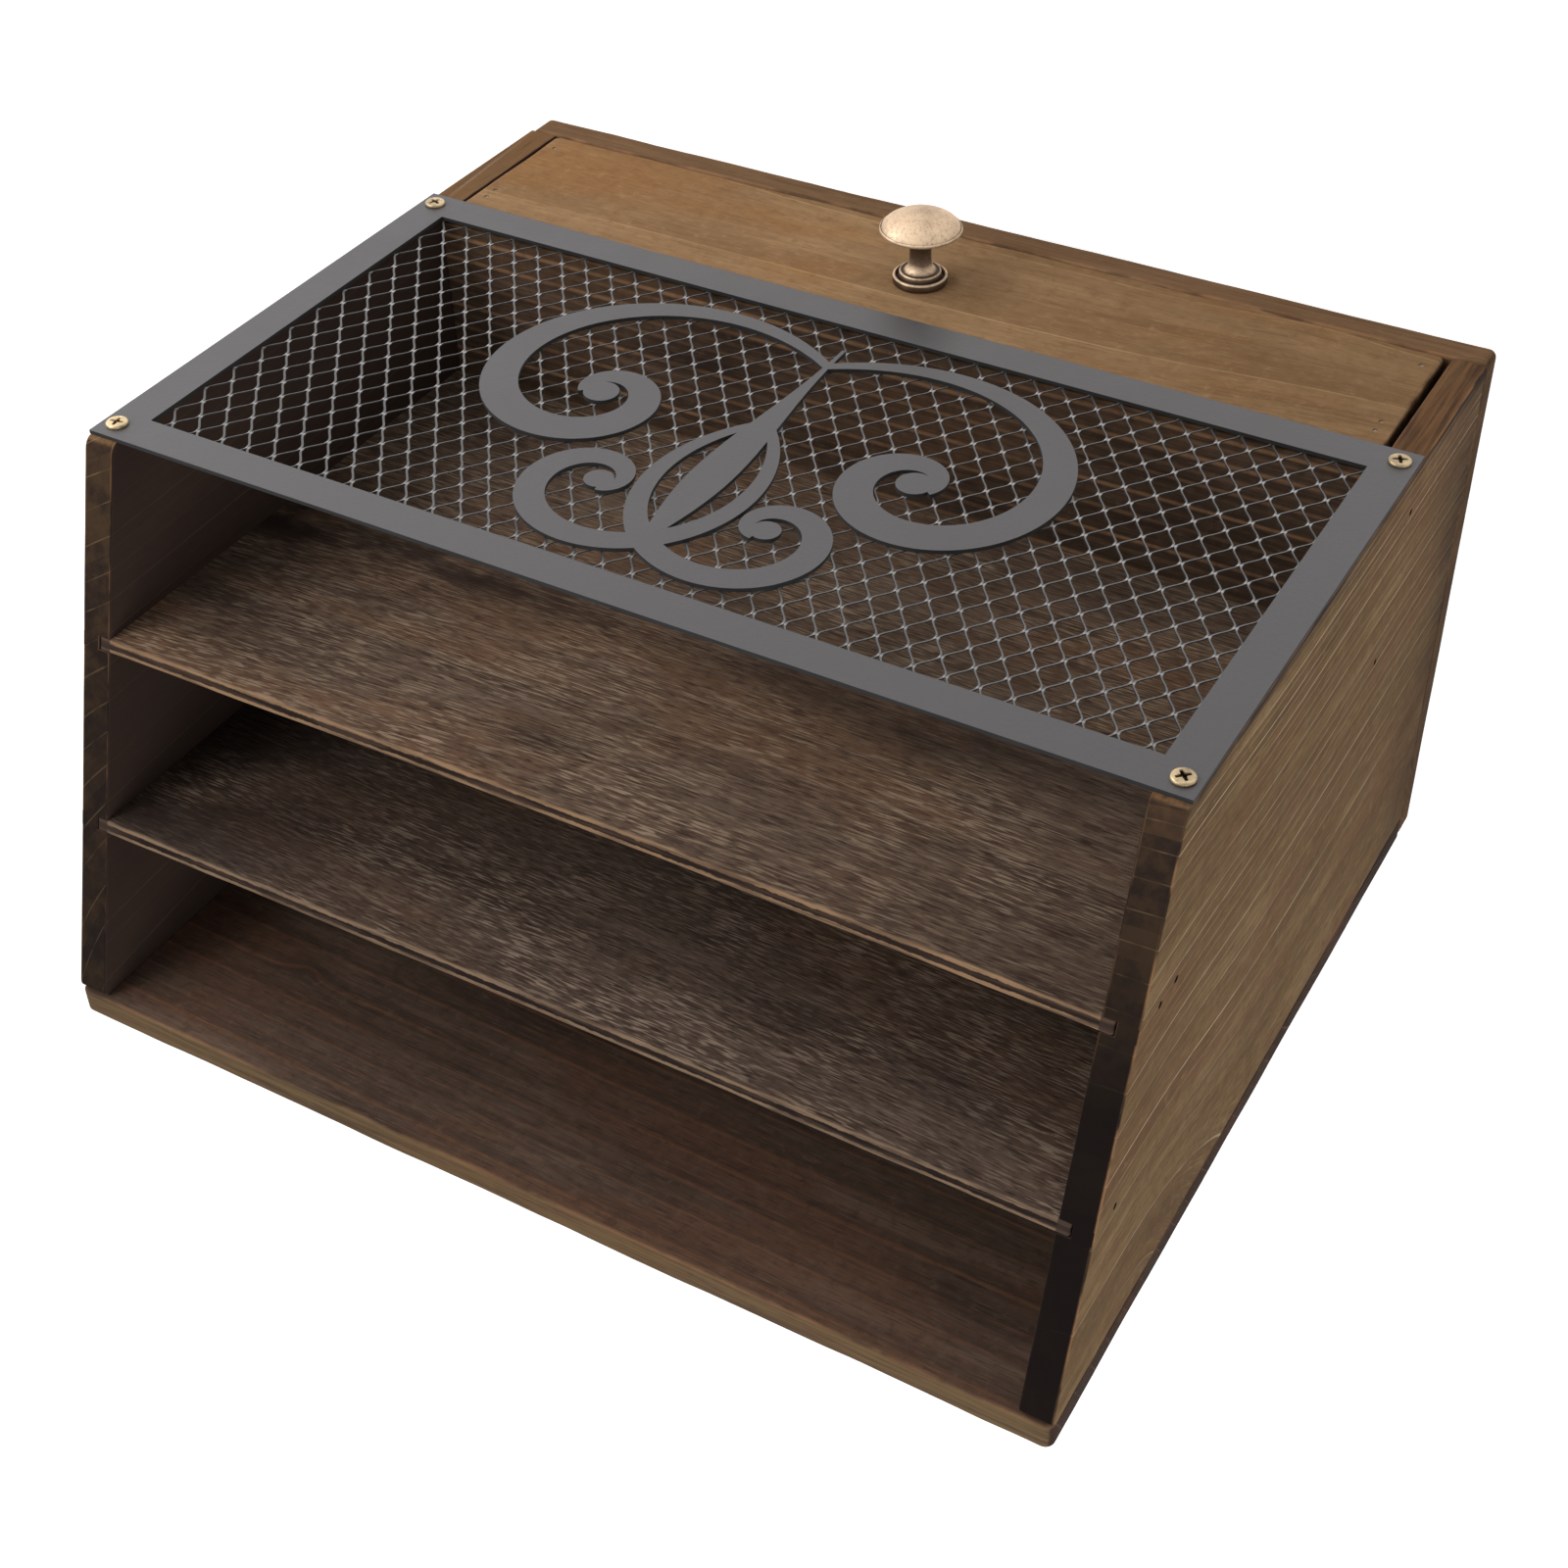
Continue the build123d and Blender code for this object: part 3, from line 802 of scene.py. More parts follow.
    def flecked(self, colour: Socket) -> Socket:
        """Scatters short dark and pale flecks, more of the pale ones in some places.

        Args:
            colour: Colour under the flecks.

        Returns:
            The colour with flecks.
        """
        s = self.s
        colour = s.mix(s.ramp(self.marks(DARK_DASH), 0.5, 0.66, 0, 0.6), colour, self.look.dark)
        dash = s.ramp(self.marks(DASH), 0.5, 0.64)
        where = s.ramp(self.noise(self.half, 45, 3, 0.5, Pattern.DASH_PLACE), 0.42, 0.62, 0.4, 1.0)
        share = s.math("MULTIPLY", s.math("MULTIPLY", dash, where), self.wood.fleck)
        return s.mix(share, colour, self.look.line)

    def pitted(self, colour: Socket) -> Socket:
        """Adds the dark pores, the grit of the brushed surface, and the bends' darkening: pooled stain, and
        painted shade at some bends.

        Args:
            colour: Colour under them.

        Returns:
            The colour with pores.
        """
        s, look = self.s, self.look
        colour = s.mix(s.ramp(self.marks(PORE), 0.68, 0.8, 0, 0.55), colour, look.dark)
        colour = s.mix(s.ramp(self.grit, 0.5, 0.7, 0, 0.45), colour, look.deep)
        colour = s.mix(s.ramp(self.grit, 0.46, 0.3, 0, 0.35), colour, look.pale)
        # The bends' darkening: pooled stain at some, painted shade at others.
        return s.mix(s.math("MULTIPLY", self.pool, s.ramp(self.blotch, 0.3, 0.6)), colour, look.dark)

    def end_grain(self) -> Socket:
        """Colours the sawn ends: dark and deep blocks between the rings, some redder, and pale lines.

        Returns:
            The colour of the ends.
        """
        s, look, seed = self.s, self.look, self.wood.seed
        rings = s.math("MULTIPLY", self.nearest, 3.7)
        block = s.noise(s.vector(rings, s.math("MULTIPLY", self.along, 3), seed), 1, 0)
        tone = s.math("MULTIPLY_ADD", block, 0.3, s.math("MULTIPLY", self.grit, 0.35))
        tone = s.math("MULTIPLY_ADD", self.noise(self.spot, 90, 2, 0.5, Pattern.END), 0.35, tone)
        colour = s.mix(s.ramp(tone, 0.4, 0.62, 0, 0.6), look.dark, look.deep)
        red = s.noise(s.vector(s.math("MULTIPLY", self.nearest, 2.3), 0, seed), 1, 0)
        red = s.ramp(red, 0.5, 0.62, 0, 0.35)
        colour = s.mix(s.math("MULTIPLY", red, block), colour, look.warm)
        broken = s.ramp(self.noise(self.spot, 160, 2, 0.5, Pattern.BEND), 0.4, 0.6, 0.1, 0.5)
        return s.mix(s.math("MULTIPLY", s.ramp(self.off_line, 0.3 * MM, 0), broken), colour, look.pale)

    def cut(self, colour: Socket) -> Socket:
        """Colours the edges, the ends and, on plywood, the layers in its edges.

        Args:
            colour: Colour of the faces.

        Returns:
            The colour of the whole board.
        """
        s, look, wood = self.s, self.look, self.wood
        side = s.mix(s.ramp(self.fibre, 0.35, 0.65, 0.25, 0.9), colour, look.edge)
        colour = s.mix(s.ramp(self.facing(wood.across), 0.5, 0.9), colour, side)
        colour = s.mix(s.math("MULTIPLY", self.end_on, 1 - wood.ends), colour, self.end_grain())
        if wood.plies:
            rough = s.math("SUBTRACT", self.grit, 0.5)
            level = s.math("MULTIPLY_ADD", rough, 0.6, s.math("ABSOLUTE", s.stored("ply")))
            layer = s.mix(s.ramp(level, 0.3, 0.5), look.dark, look.edge)
            layer = s.mix(s.ramp(level, 0.84, 0.97, 0, 0.5), layer, look.line)
            layer = s.mix(s.ramp(self.fibre, 0.42, 0.62, 0, 0.7), layer, look.deep)
            colour = s.mix(s.ramp(self.facing(wood.through), 0.75, 0.45), colour, layer)
        return colour

    def used(self, colour: Socket) -> Socket:
        """Rubs the arrises pale or grimy, paints shade on the inner faces, darkens the back of the tops and
        the seated ends, and blackens the nail pits.

        Args:
            colour: Colour of the board as new.

        Returns:
            The colour of the board in use.
        """
        s, look = self.s, self.look
        along, across = (s.math("MULTIPLY", value, 0.5) for value in (self.along, self.across))
        place = s.vector(along, across, self.through)
        rub = s.ramp(self.noise(place, 90, 3, 0.6, Pattern.RUB), 0.4, 0.6)
        edge = s.ramp(s.stored("arris"), 0.35, 1.0)
        colour = s.mix(s.math("MULTIPLY", edge, s.math("MULTIPLY_ADD", rub, -0.35, 0.4)), colour, look.dark)
        colour = s.mix(s.math("MULTIPLY", s.math("MULTIPLY", edge, rub), self.wood.wear), colour, look.worn)
        # Painted shade: the inner faces take a dark shade colour, and on end grain the back of the slanted
        # tops and the ends in grooves are made darker.
        stain = s.mix(self.end_on, INNER_FACE_SHADE, END_GRAIN_DARK)
        share = s.math("MULTIPLY", s.stored("shade"), s.ramp(self.blotch, 0.2, 0.7, 1.0, 0.93))
        colour = s.mix(share, colour, stain)
        return s.mix(s.ramp(s.stored("mark"), 0.25, 0.8), colour, NAIL_PIT)

    def relief(self) -> Socket:
        """Gives the height of the surface: hairs, fibres, growth lines, and saw marks in the ends.

        Returns:
            The height, about 0 to 1.
        """
        s = self.s
        height = s.math("MULTIPLY_ADD", self.hair, 0.4, s.math("MULTIPLY", self.fibre, 0.6))
        height = s.math("MULTIPLY_ADD", self.line, 0.3, height)
        across, through = s.math("MULTIPLY", self.across, 12), s.math("MULTIPLY", self.through, 500)
        place = s.vector(across, through, self.along)
        saw = self.noise(place, 1, 3, 0.6, Pattern.SAW)
        return s.math("MULTIPLY_ADD", s.math("MULTIPLY", saw, self.end_on), 0.7, height)


@dataclass(frozen=True)
class SatinSteel:
    """Sheet steel under dark satin paint with a fine orange-peel skin.

    Attributes:
        name: Name of the material.
        colour: Colour of the paint.
        thin: Colour where the paint is rubbed.
        roughness: How far its sheen spreads, 0 to 1.
        skin: Depth of the orange-peel skin in metres.
        bonds: Whether the mesh stores where its strands join, which are painted paler as glints.
        shaded_edges: Whether the edges that look sideways are painted darker than the face, as shade, and
            made rougher.
    """

    name: str
    colour: Colour
    thin: Colour
    roughness: float = 0.42
    skin: float = 0.05 * MM
    bonds: bool = False
    shaded_edges: bool = False

    def dress(self) -> bpy.types.Material:
        """Builds the material from cloudy paint, fine grain and a pebbled skin.

        Returns:
            The material.
        """
        s = Shading(self.name)
        spot = s.vector(*s.place())
        cloud = s.noise(spot, 45, 4, 0.6, 2)
        grain = s.noise(spot, 1500, 3, 0.6, 4)
        peel = s.noise(spot, 750, 2, 0.5, 6)
        colour = s.mix(s.ramp(cloud, 0.35, 0.7, 0, 0.6), self.colour, self.thin)
        colour = s.mix(s.ramp(grain, 0.35, 0.7, 0, 0.35), colour, self.thin)
        if self.bonds:
            # Painted highlight: the bonds are painted paler, as glints where the strands join.
            colour = s.mix(s.ramp(s.stored("bond"), 0.15, 0.7, 0, 0.75), colour, BOND_GLINT)
        roughness = s.ramp(cloud, 0.3, 0.7, self.roughness - 0.05, self.roughness + 0.08)
        # Painted shade: edges that look sideways turn near-black, and rougher.
        if self.shaded_edges:
            facing = s.ramp(s.math("ABSOLUTE", s.place("Normal")[1]), 0.5, 0.85)
            colour = s.mix(facing, PAINTED_EDGE_SHADE, colour)
            roughness = s.math("ADD", roughness, s.math("MULTIPLY_ADD", facing, -0.5, 0.5), clamp=True)
        s.bump(s.math("MULTIPLY_ADD", grain, 0.3, peel), self.skin)
        return s.surface(
            Base_Color=colour,
            Metallic=0.0,
            Roughness=roughness,
            Specular_IOR_Level=0.5,
        )


@dataclass(frozen=True)
class BareMetal:
    """Metal without paint, cast or cut, with specks and a slightly uneven shine.

    Attributes:
        name: Name of the material.
        colour: Main colour.
        dull: Colour of the tarnish and specks.
        roughness: How far its shine spreads, 0 to 1.
        specks: How clearly the specks show, 0 to 1.
        speck_size: Distance between two specks in metres.
        relief: Depth of the pitting in metres.
        aged: Whether the mesh stores where its tarnish lies.
        clouds: How clearly cloudy tarnish shows, 0 to 1.
    """

    name: str
    colour: Colour
    dull: Colour
    roughness: float = 0.3
    specks: float = 0.4
    speck_size: float = 1.2 * MM
    relief: float = 0.03 * MM
    aged: bool = False
    clouds: float = 0.5

    def dress(self) -> bpy.types.Material:
        """Builds the material from cloudy tarnish and small specks.

        Returns:
            The material.
        """
        s = Shading(self.name)
        spot = s.vector(*s.place())
        cloud = s.noise(spot, 110, 4, 0.6, 1)
        speck = s.ramp(s.noise(spot, 1 / self.speck_size, 3, 0.65, 3), 0.5, 0.72)
        colour = s.mix(s.ramp(cloud, 0.4, 0.68, 0, self.clouds), self.colour, self.dull)
        colour = s.mix(s.math("MULTIPLY", speck, self.specks), colour, self.dull)
        if self.aged:
            lying = s.math("MULTIPLY_ADD", s.math("SUBTRACT", cloud, 0.5), 0.8, s.stored("tarnish"))
            colour = s.mix(s.ramp(lying, 0.1, 1.0), colour, self.dull)
        s.bump(s.math("MULTIPLY_ADD", speck, -0.6, cloud), self.relief)
        return s.surface(
            Base_Color=colour,
            Metallic=1.0,
            Roughness=s.math("MULTIPLY_ADD", speck, 0.18, self.roughness, clamp=True),
        )


# ---------------------------------------------------------------------------
# Boards
# ---------------------------------------------------------------------------

# The side panels' front face along Y, their depth, and the height of their slanted top at both ends.
FRONT_FACE = -90 * MM
PANEL_DEPTH = 171 * MM
FRONT_TOP = 230 * MM
BACK_TOP = 282 * MM
# Distances from a board's edges, and from a nail's middle, at which its surface is ruled.
EDGE_LINES = tuple(MM * np.array([0, 0.2, 0.45, 0.8, 1.2, 1.7, 2.4, 3.2]))
NAIL_LINES = MM * np.array([-1.1, -0.8, -0.6, -0.3, 0, 0.3, 0.6, 0.8, 1.1])


def slanted_top(y: np.ndarray) -> np.ndarray:
    """Gives the height of the slanted side panels at a depth: it rises evenly from front to back."""
    return FRONT_TOP + (BACK_TOP - FRONT_TOP) * (y - FRONT_FACE) / PANEL_DEPTH


def nail_heads(node: str, axis: Axis, face: float) -> np.ndarray:
    """Finds the nail heads of a node that lie just under a face.

    Points within a nail's width of each other belong to one head, and the head's centre is their mean.

    Args:
        node: Name of the nails' node.
        axis: Axis that the face looks along.
        face: Coordinate of the face on it.

    Returns:
        The centres, one row each.
    """
    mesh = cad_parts[node].data
    points = np.empty(len(mesh.vertices) * 3)
    mesh.vertices.foreach_get("co", points)
    points = points.reshape(-1, 3)
    points = points[np.abs(points[:, axis.value] - face) < 0.6 * MM]
    first = (np.linalg.norm(points[:, None] - points[None], axis=2) < 1.6 * MM).argmax(1)
    return np.array([points[first == number].mean(0) for number in np.unique(first)]).reshape(-1, 3)


@dataclass(frozen=True)
class Nails:
    """The nails of one node that show in one face of a board.

    Attributes:
        node: Name of their node.
        axis: Axis that the face looks along.
        end: 0 for the face at the low end of the axis, 1 for the high end.
        dark: How dark the pits over their heads are, 0 to 1.
    """

    node: str
    axis: Axis
    end: int
    dark: float = 1.0

    def heads(self, box: np.ndarray) -> np.ndarray:
        """Gives the centres of the heads that lie in the board's face, one row each."""
        return nail_heads(self.node, self.axis, box[self.end, self.axis.value])


@dataclass
class Board:
    """A sawn slab with sanded, slightly uneven arrises, nail dents and the cuts that its place needs.

    Attributes:
        node: The frame's node that it stands for.
        body: Body that it rides on.
        slot: Material slot that its finish belongs to.
        finish: Its wood.
        corner: Radius of its corners, seen flat on.
        arris: Typical radius of its arrises.
        uneven: Share by which that radius wanders.
        nails: Nails that show in its faces.
        slanted: Whether its top follows the slant of the side panels.
        grooves: First and last depth of each groove in its inner face.
        bow: How far its middle bulges forwards.
        foot_corner: Share of the corner radius that is left at its foot.
        inner: Side of its thickness that faces the compartments, 1 or -1, or 0 if none does.
        dark_top: How much darker the back of its top is made, 0 to 1.
        seated: Length of each end that sits in a groove.
        seed: Picks another unevenness.
    """

    node: str
    body: str
    slot: str
    finish: StainedWood
    corner: float = 1.8 * MM
    arris: float = 0.8 * MM
    uneven: float = 0.45
    nails: tuple[Nails, ...] = ()
    slanted: bool = False
    grooves: tuple[tuple[float, float], ...] = ()
    bow: float = 0.0
    foot_corner: float = 1.0
    inner: int = 0
    dark_top: float = 0.0
    seated: float = 0.0
    seed: int = 0

    CELL = 4 * MM
    GROOVE_FOOT = 72 * MM
    GROOVE_THICKNESS = 0.6
    SLANT_FOOT = 100 * MM
    PIT_RADIUS = 0.72 * MM
    PIT_DEPTH = 0.45 * MM
    MARK_RADIUS = 1.15 * MM

    def lines(self, box: np.ndarray) -> list[np.ndarray]:
        """Chooses the lines that rule the slab, closer at its edges, nails and grooves.

        Args:
            box: Its lowest and highest corner.

        Returns:
            Rising coordinates for each axis.
        """
        extra: list[list[float]] = [[], [], []]
        for nails in self.nails:
            for head in nails.heads(box):
                if self.slanted and head[2] > self.SLANT_FOOT:
                    stretch = (box[1, 2] - self.SLANT_FOOT) / (slanted_top(head[1]) - self.SLANT_FOOT)
                    head[2] = self.SLANT_FOOT + (head[2] - self.SLANT_FOOT) * stretch
                for axis in range(3):
                    if axis != nails.axis.value:
                        extra[axis] += list(np.round(head[axis] + NAIL_LINES, 4))
        for start, stop in self.grooves:
            extra[1] += [start - 0.01 * MM, start + 0.01 * MM, stop - 0.01 * MM, stop + 0.01 * MM]
        if self.grooves:
            extra[2] += [self.GROOVE_FOOT, self.GROOVE_FOOT + 3 * MM]
        if self.seated:
            extra[0] += [box[0, 0] + self.seated, box[0, 0] + self.seated + 0.3 * MM]
            extra[0] += [box[1, 0] - self.seated, box[1, 0] - self.seated - 0.3 * MM]
        return [ruled(box[0, axis], box[1, axis], self.CELL, EDGE_LINES, extra[axis]) for axis in range(3)]

    def ease(self, points: np.ndarray, box: np.ndarray) -> tuple[np.ndarray, np.ndarray]:
        """Rounds the corners and the arrises.

        Seen flat on, each square ring of points round a corner becomes an arc of the same reach. Through
        the thickness, the points within the arris radius of both faces move from the square onto the
        quarter circle. The radius wanders with the place.

        Args:
            points: Points of the square slab.
            box: Its lowest and highest corner.

        Returns:
            The moved points, and how near each lies to an arris, from 0 to 1.
        """
        through = self.finish.through.value
        flat = [axis for axis in range(3) if axis != through]
        half, centre = (box[1] - box[0]) / 2, (box[1] + box[0]) / 2
        moved = points - centre
        rise = (points[:, 2] - box[0, 2]) / (18 * MM)
        corner = self.corner * np.clip(rise, self.foot_corner, 1)
        inner = np.clip(moved[:, flat], corner[:, None] - half[flat], half[flat] - corner[:, None])
        out = moved[:, flat] - inner
        length = np.hypot(out[:, 0], out[:, 1])[:, None]
        way = np.divide(out, length, out=np.zeros_like(out), where=length > 0)
        reach = np.abs(out).max(1)
        to_edge = corner - reach
        to_face = half[through] - np.abs(moved[:, through])
        wander = waves(points, self.seed, 40 * MM) + 0.3 * waves(points, self.seed + 50, 15 * MM)
        radius = np.minimum(np.maximum(self.arris * (1 + self.uneven * wander), 0.25 * MM), corner)
        inward, sunk = np.maximum(radius - to_edge, 0), np.maximum(radius - to_face, 0)
        both = np.hypot(inward, sunk)
        share = np.divide(np.maximum(inward, sunk), both, out=np.ones_like(both), where=both > 0)
        reach = reach + inward * (share - 1)
        moved[:, flat] = inner + way * reach[:, None]
        moved[:, through] += np.sign(moved[:, through]) * sunk * (share - 1)
        nearness = np.exp(-((np.maximum(to_edge, to_face) / (1.1 * self.arris + 0.1 * MM)) ** 2))
        return moved + centre, nearness

    def cut(self, points: np.ndarray, box: np.ndarray) -> np.ndarray:
        """Cuts the slanted top and the grooves, and bows the board.

        Above a foot the height shrinks in proportion, so that the top meets the slant. In a groove the
        thickness shrinks to six tenths. The bow is a cosine over the width that fades in above the foot.

        Args:
            points: Points of the eased slab.
            box: Its lowest and highest corner.

        Returns:
            The moved points.
        """
        points = points.copy()
        if self.grooves:
            outer = box[0, 0] if self.inner > 0 else box[1, 0]
            inside = np.zeros(len(points), bool)
            for start, stop in self.grooves:
                inside |= (points[:, 1] > start) & (points[:, 1] < stop)
            inside &= points[:, 2] > self.GROOVE_FOOT + MM
            points[inside, 0] = outer + self.GROOVE_THICKNESS * (points[inside, 0] - outer)
        if self.slanted:
            share = np.clip((points[:, 2] - self.SLANT_FOOT) / (box[1, 2] - self.SLANT_FOOT), 0, None)
            points[:, 2] += share * (slanted_top(points[:, 1]) - slanted_top(box[1, 1]))
        if self.bow:
            fade = np.clip((points[:, 2] - box[0, 2]) / (120 * MM), 0, 1)
            points[:, 1] -= self.bow * fade * np.cos(np.pi * points[:, 0] / (box[1, 0] - box[0, 0]))
        return points

    def dent(self, points: np.ndarray, box: np.ndarray) -> tuple[np.ndarray, np.ndarray]:
        """Presses a small pit over each nail head.

        Its depth falls with the distance from the head as a hyperbolic tangent, steepest at its radius.

        Args:
            points: Points of the board.
            box: Its lowest and highest corner.

        Returns:
            The moved points, and how near each lies to a nail, from 0 to 1.
        """
        points, mark = points.copy(), np.zeros(len(points))
        for nails in self.nails:
            axis = nails.axis.value
            others = [other for other in range(3) if other != axis]
            face = box[nails.end, axis]
            near_face = np.abs(points[:, axis] - face) < 1.2 * MM
            for head in nails.heads(box):
                far = np.linalg.norm(points[:, others] - head[others], axis=1)
                pit = 0.5 * (1 - np.tanh((far - self.PIT_RADIUS) / (0.1 * MM))) * near_face
                points[:, axis] += (1 if nails.end == 0 else -1) * self.PIT_DEPTH * pit
                mark = np.maximum(mark, nails.dark * np.exp(-((far / self.MARK_RADIUS) ** 4)) * near_face)
        return points, mark

    def shade(self, square: np.ndarray, box: np.ndarray) -> np.ndarray:
        """Says where shade is painted on the board's inner face, and how much darker the back of its top and
        its seated ends are.

        Args:
            square: Points of the slab before its arrises are eased.
            box: Its lowest and highest corner.

        Returns:
            How dark each point is, from 0 to 1.
        """
        shade = np.zeros(len(square))
        if self.inner:
            through = self.finish.through.value
            low, high = (square - box[0])[:, through], (box[1] - square)[:, through]
            inside, outside = (high, low) if self.inner > 0 else (low, high)
            # Painted shade on the inner face; the back of the slanted top is made darker by dark_top.
            back = np.clip((square[:, 1] + 100 * MM) / (90 * MM), 0, 1)
            shade = np.clip(1 - inside / (0.4 * MM), 0, 1)
            top = (box[1, 2] - square[:, 2] < 0.1 * MM) & (outside > 0.7 * MM)
            shade[top] = np.maximum(shade[top], self.dark_top * back[top])
        # The ends seated in grooves are made darker.
        if self.seated:
            end = box[1, 0] - np.abs(square[:, 0])
            shade = np.maximum(shade, 0.85 * (end < self.seated + 0.1 * MM))
        return shade

    def build(self) -> bpy.types.Object:
        """Builds the slab, dresses it and puts it in its node's place.

        Returns:
            The finished piece.
        """
        box = np.array([tuple(corner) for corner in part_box(self.node)])
        points, quads = box_lattice(self.lines(box))
        through = self.finish.through.value
        ply = (2 * points[:, through] - box.sum(0)[through]) / (box[1] - box[0])[through]
        shade = self.shade(points, box)
        points, arris = self.ease(points, box)
        points = self.cut(points, box)
        points, mark = self.dent(points, box)
        piece = make_piece(f"{self.node}_wood", points, quads)
        for name, values in (("arris", arris), ("mark", mark), ("ply", ply), ("shade", shade)):
            store(piece, name, values)
        piece.data.materials.append(self.finish.dress())
        return settle(piece, self.body, self.slot, self.node)


def settle(piece: bpy.types.Object, body: str, slot: str, *nodes: str) -> bpy.types.Object:
    """Puts a finished piece on its body and in place of its nodes.

    Args:
        piece: The piece.
        body: Body that it rides on.
        slot: Material slot that its finish belongs to; not used.
        nodes: The frame's nodes that it stands for.

    Returns:
        The piece.
    """
    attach(piece, body)
    if nodes:
        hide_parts(*nodes)
    return piece


def refinish(node: str, material: bpy.types.Material) -> bpy.types.Object:
    """Gives one of the frame's own pieces a new finish.

    Args:
        node: Name of the node.
        material: Its finish.

    Returns:
        The node's object.
    """
    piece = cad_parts[node]
    if not piece.material_slots:
        piece.data.materials.append(material)
    for material_slot in piece.material_slots:
        material_slot.material = material
    return piece


# ---------------------------------------------------------------------------
# Sub-assemblies
# ---------------------------------------------------------------------------

WALNUT = Palette(
    ground=paint(109, 87, 61), deep=paint(86, 66, 47), pale=paint(134, 110, 80), warm=paint(108, 81, 58),
    line=paint(210, 190, 164), edge=paint(118, 86, 60), dark=paint(44, 36, 33), worn=paint(166, 122, 88),
)
OAK_BROWN = replace(WALNUT, ground=paint(106, 80, 58), edge=paint(122, 94, 70), line=paint(150, 120, 88))
UMBER = Palette(
    ground=paint(84, 68, 58), deep=paint(60, 48, 42), pale=paint(108, 88, 75), warm=paint(94, 68, 54),
    line=paint(128, 86, 62), edge=paint(112, 92, 66), dark=paint(40, 32, 28), worn=paint(150, 110, 78),
)
# Its ground is darker than UMBER's as painted shade of the mesh in front of the shelf; its paler lines are
# grain.
SHADED_SHELF_BROWN = replace(UMBER, ground=paint(79, 64, 52), warm=paint(91, 69, 52), line=paint(158, 121, 90))
PLY = Palette(
    ground=paint(95, 77, 65), deep=paint(72, 58, 50), pale=paint(114, 96, 82), warm=paint(112, 84, 64),
    line=paint(172, 150, 126), edge=paint(140, 112, 86), dark=paint(42, 33, 30), worn=paint(164, 132, 104),
)
GREY_PLY = Palette(
    ground=paint(88, 73, 64), deep=paint(68, 55, 48), pale=paint(106, 89, 78), warm=paint(94, 72, 58),
    line=paint(156, 136, 118), edge=paint(126, 104, 84), dark=paint(38, 31, 29), worn=paint(146, 122, 100),
)
GOLDEN = Palette(
    ground=paint(143, 113, 82), deep=paint(118, 89, 62), pale=paint(162, 131, 96), warm=paint(142, 102, 66),
    line=paint(192, 156, 116), edge=paint(140, 98, 64), dark=paint(62, 45, 32), worn=paint(196, 158, 118),
)
BARE = Palette(
    ground=paint(150, 120, 86), deep=paint(122, 94, 64), pale=paint(176, 146, 108), warm=paint(150, 108, 72),
    line=paint(196, 166, 124), edge=paint(150, 116, 80), dark=paint(84, 64, 46), worn=paint(196, 166, 124),
)
# Painted shade for the inner faces, a darker colour for end grain at the back of the tops and in grooves, and
# the dark of nail pits.
INNER_FACE_SHADE, END_GRAIN_DARK, NAIL_PIT = paint(58, 47, 43), paint(25, 21, 20), paint(22, 17, 14)
# A painted glint for the mesh's bonds, and painted shade for sideways steel edges.
BOND_GLINT, PAINTED_EDGE_SHADE = paint(172, 168, 166), paint(18, 17, 17)


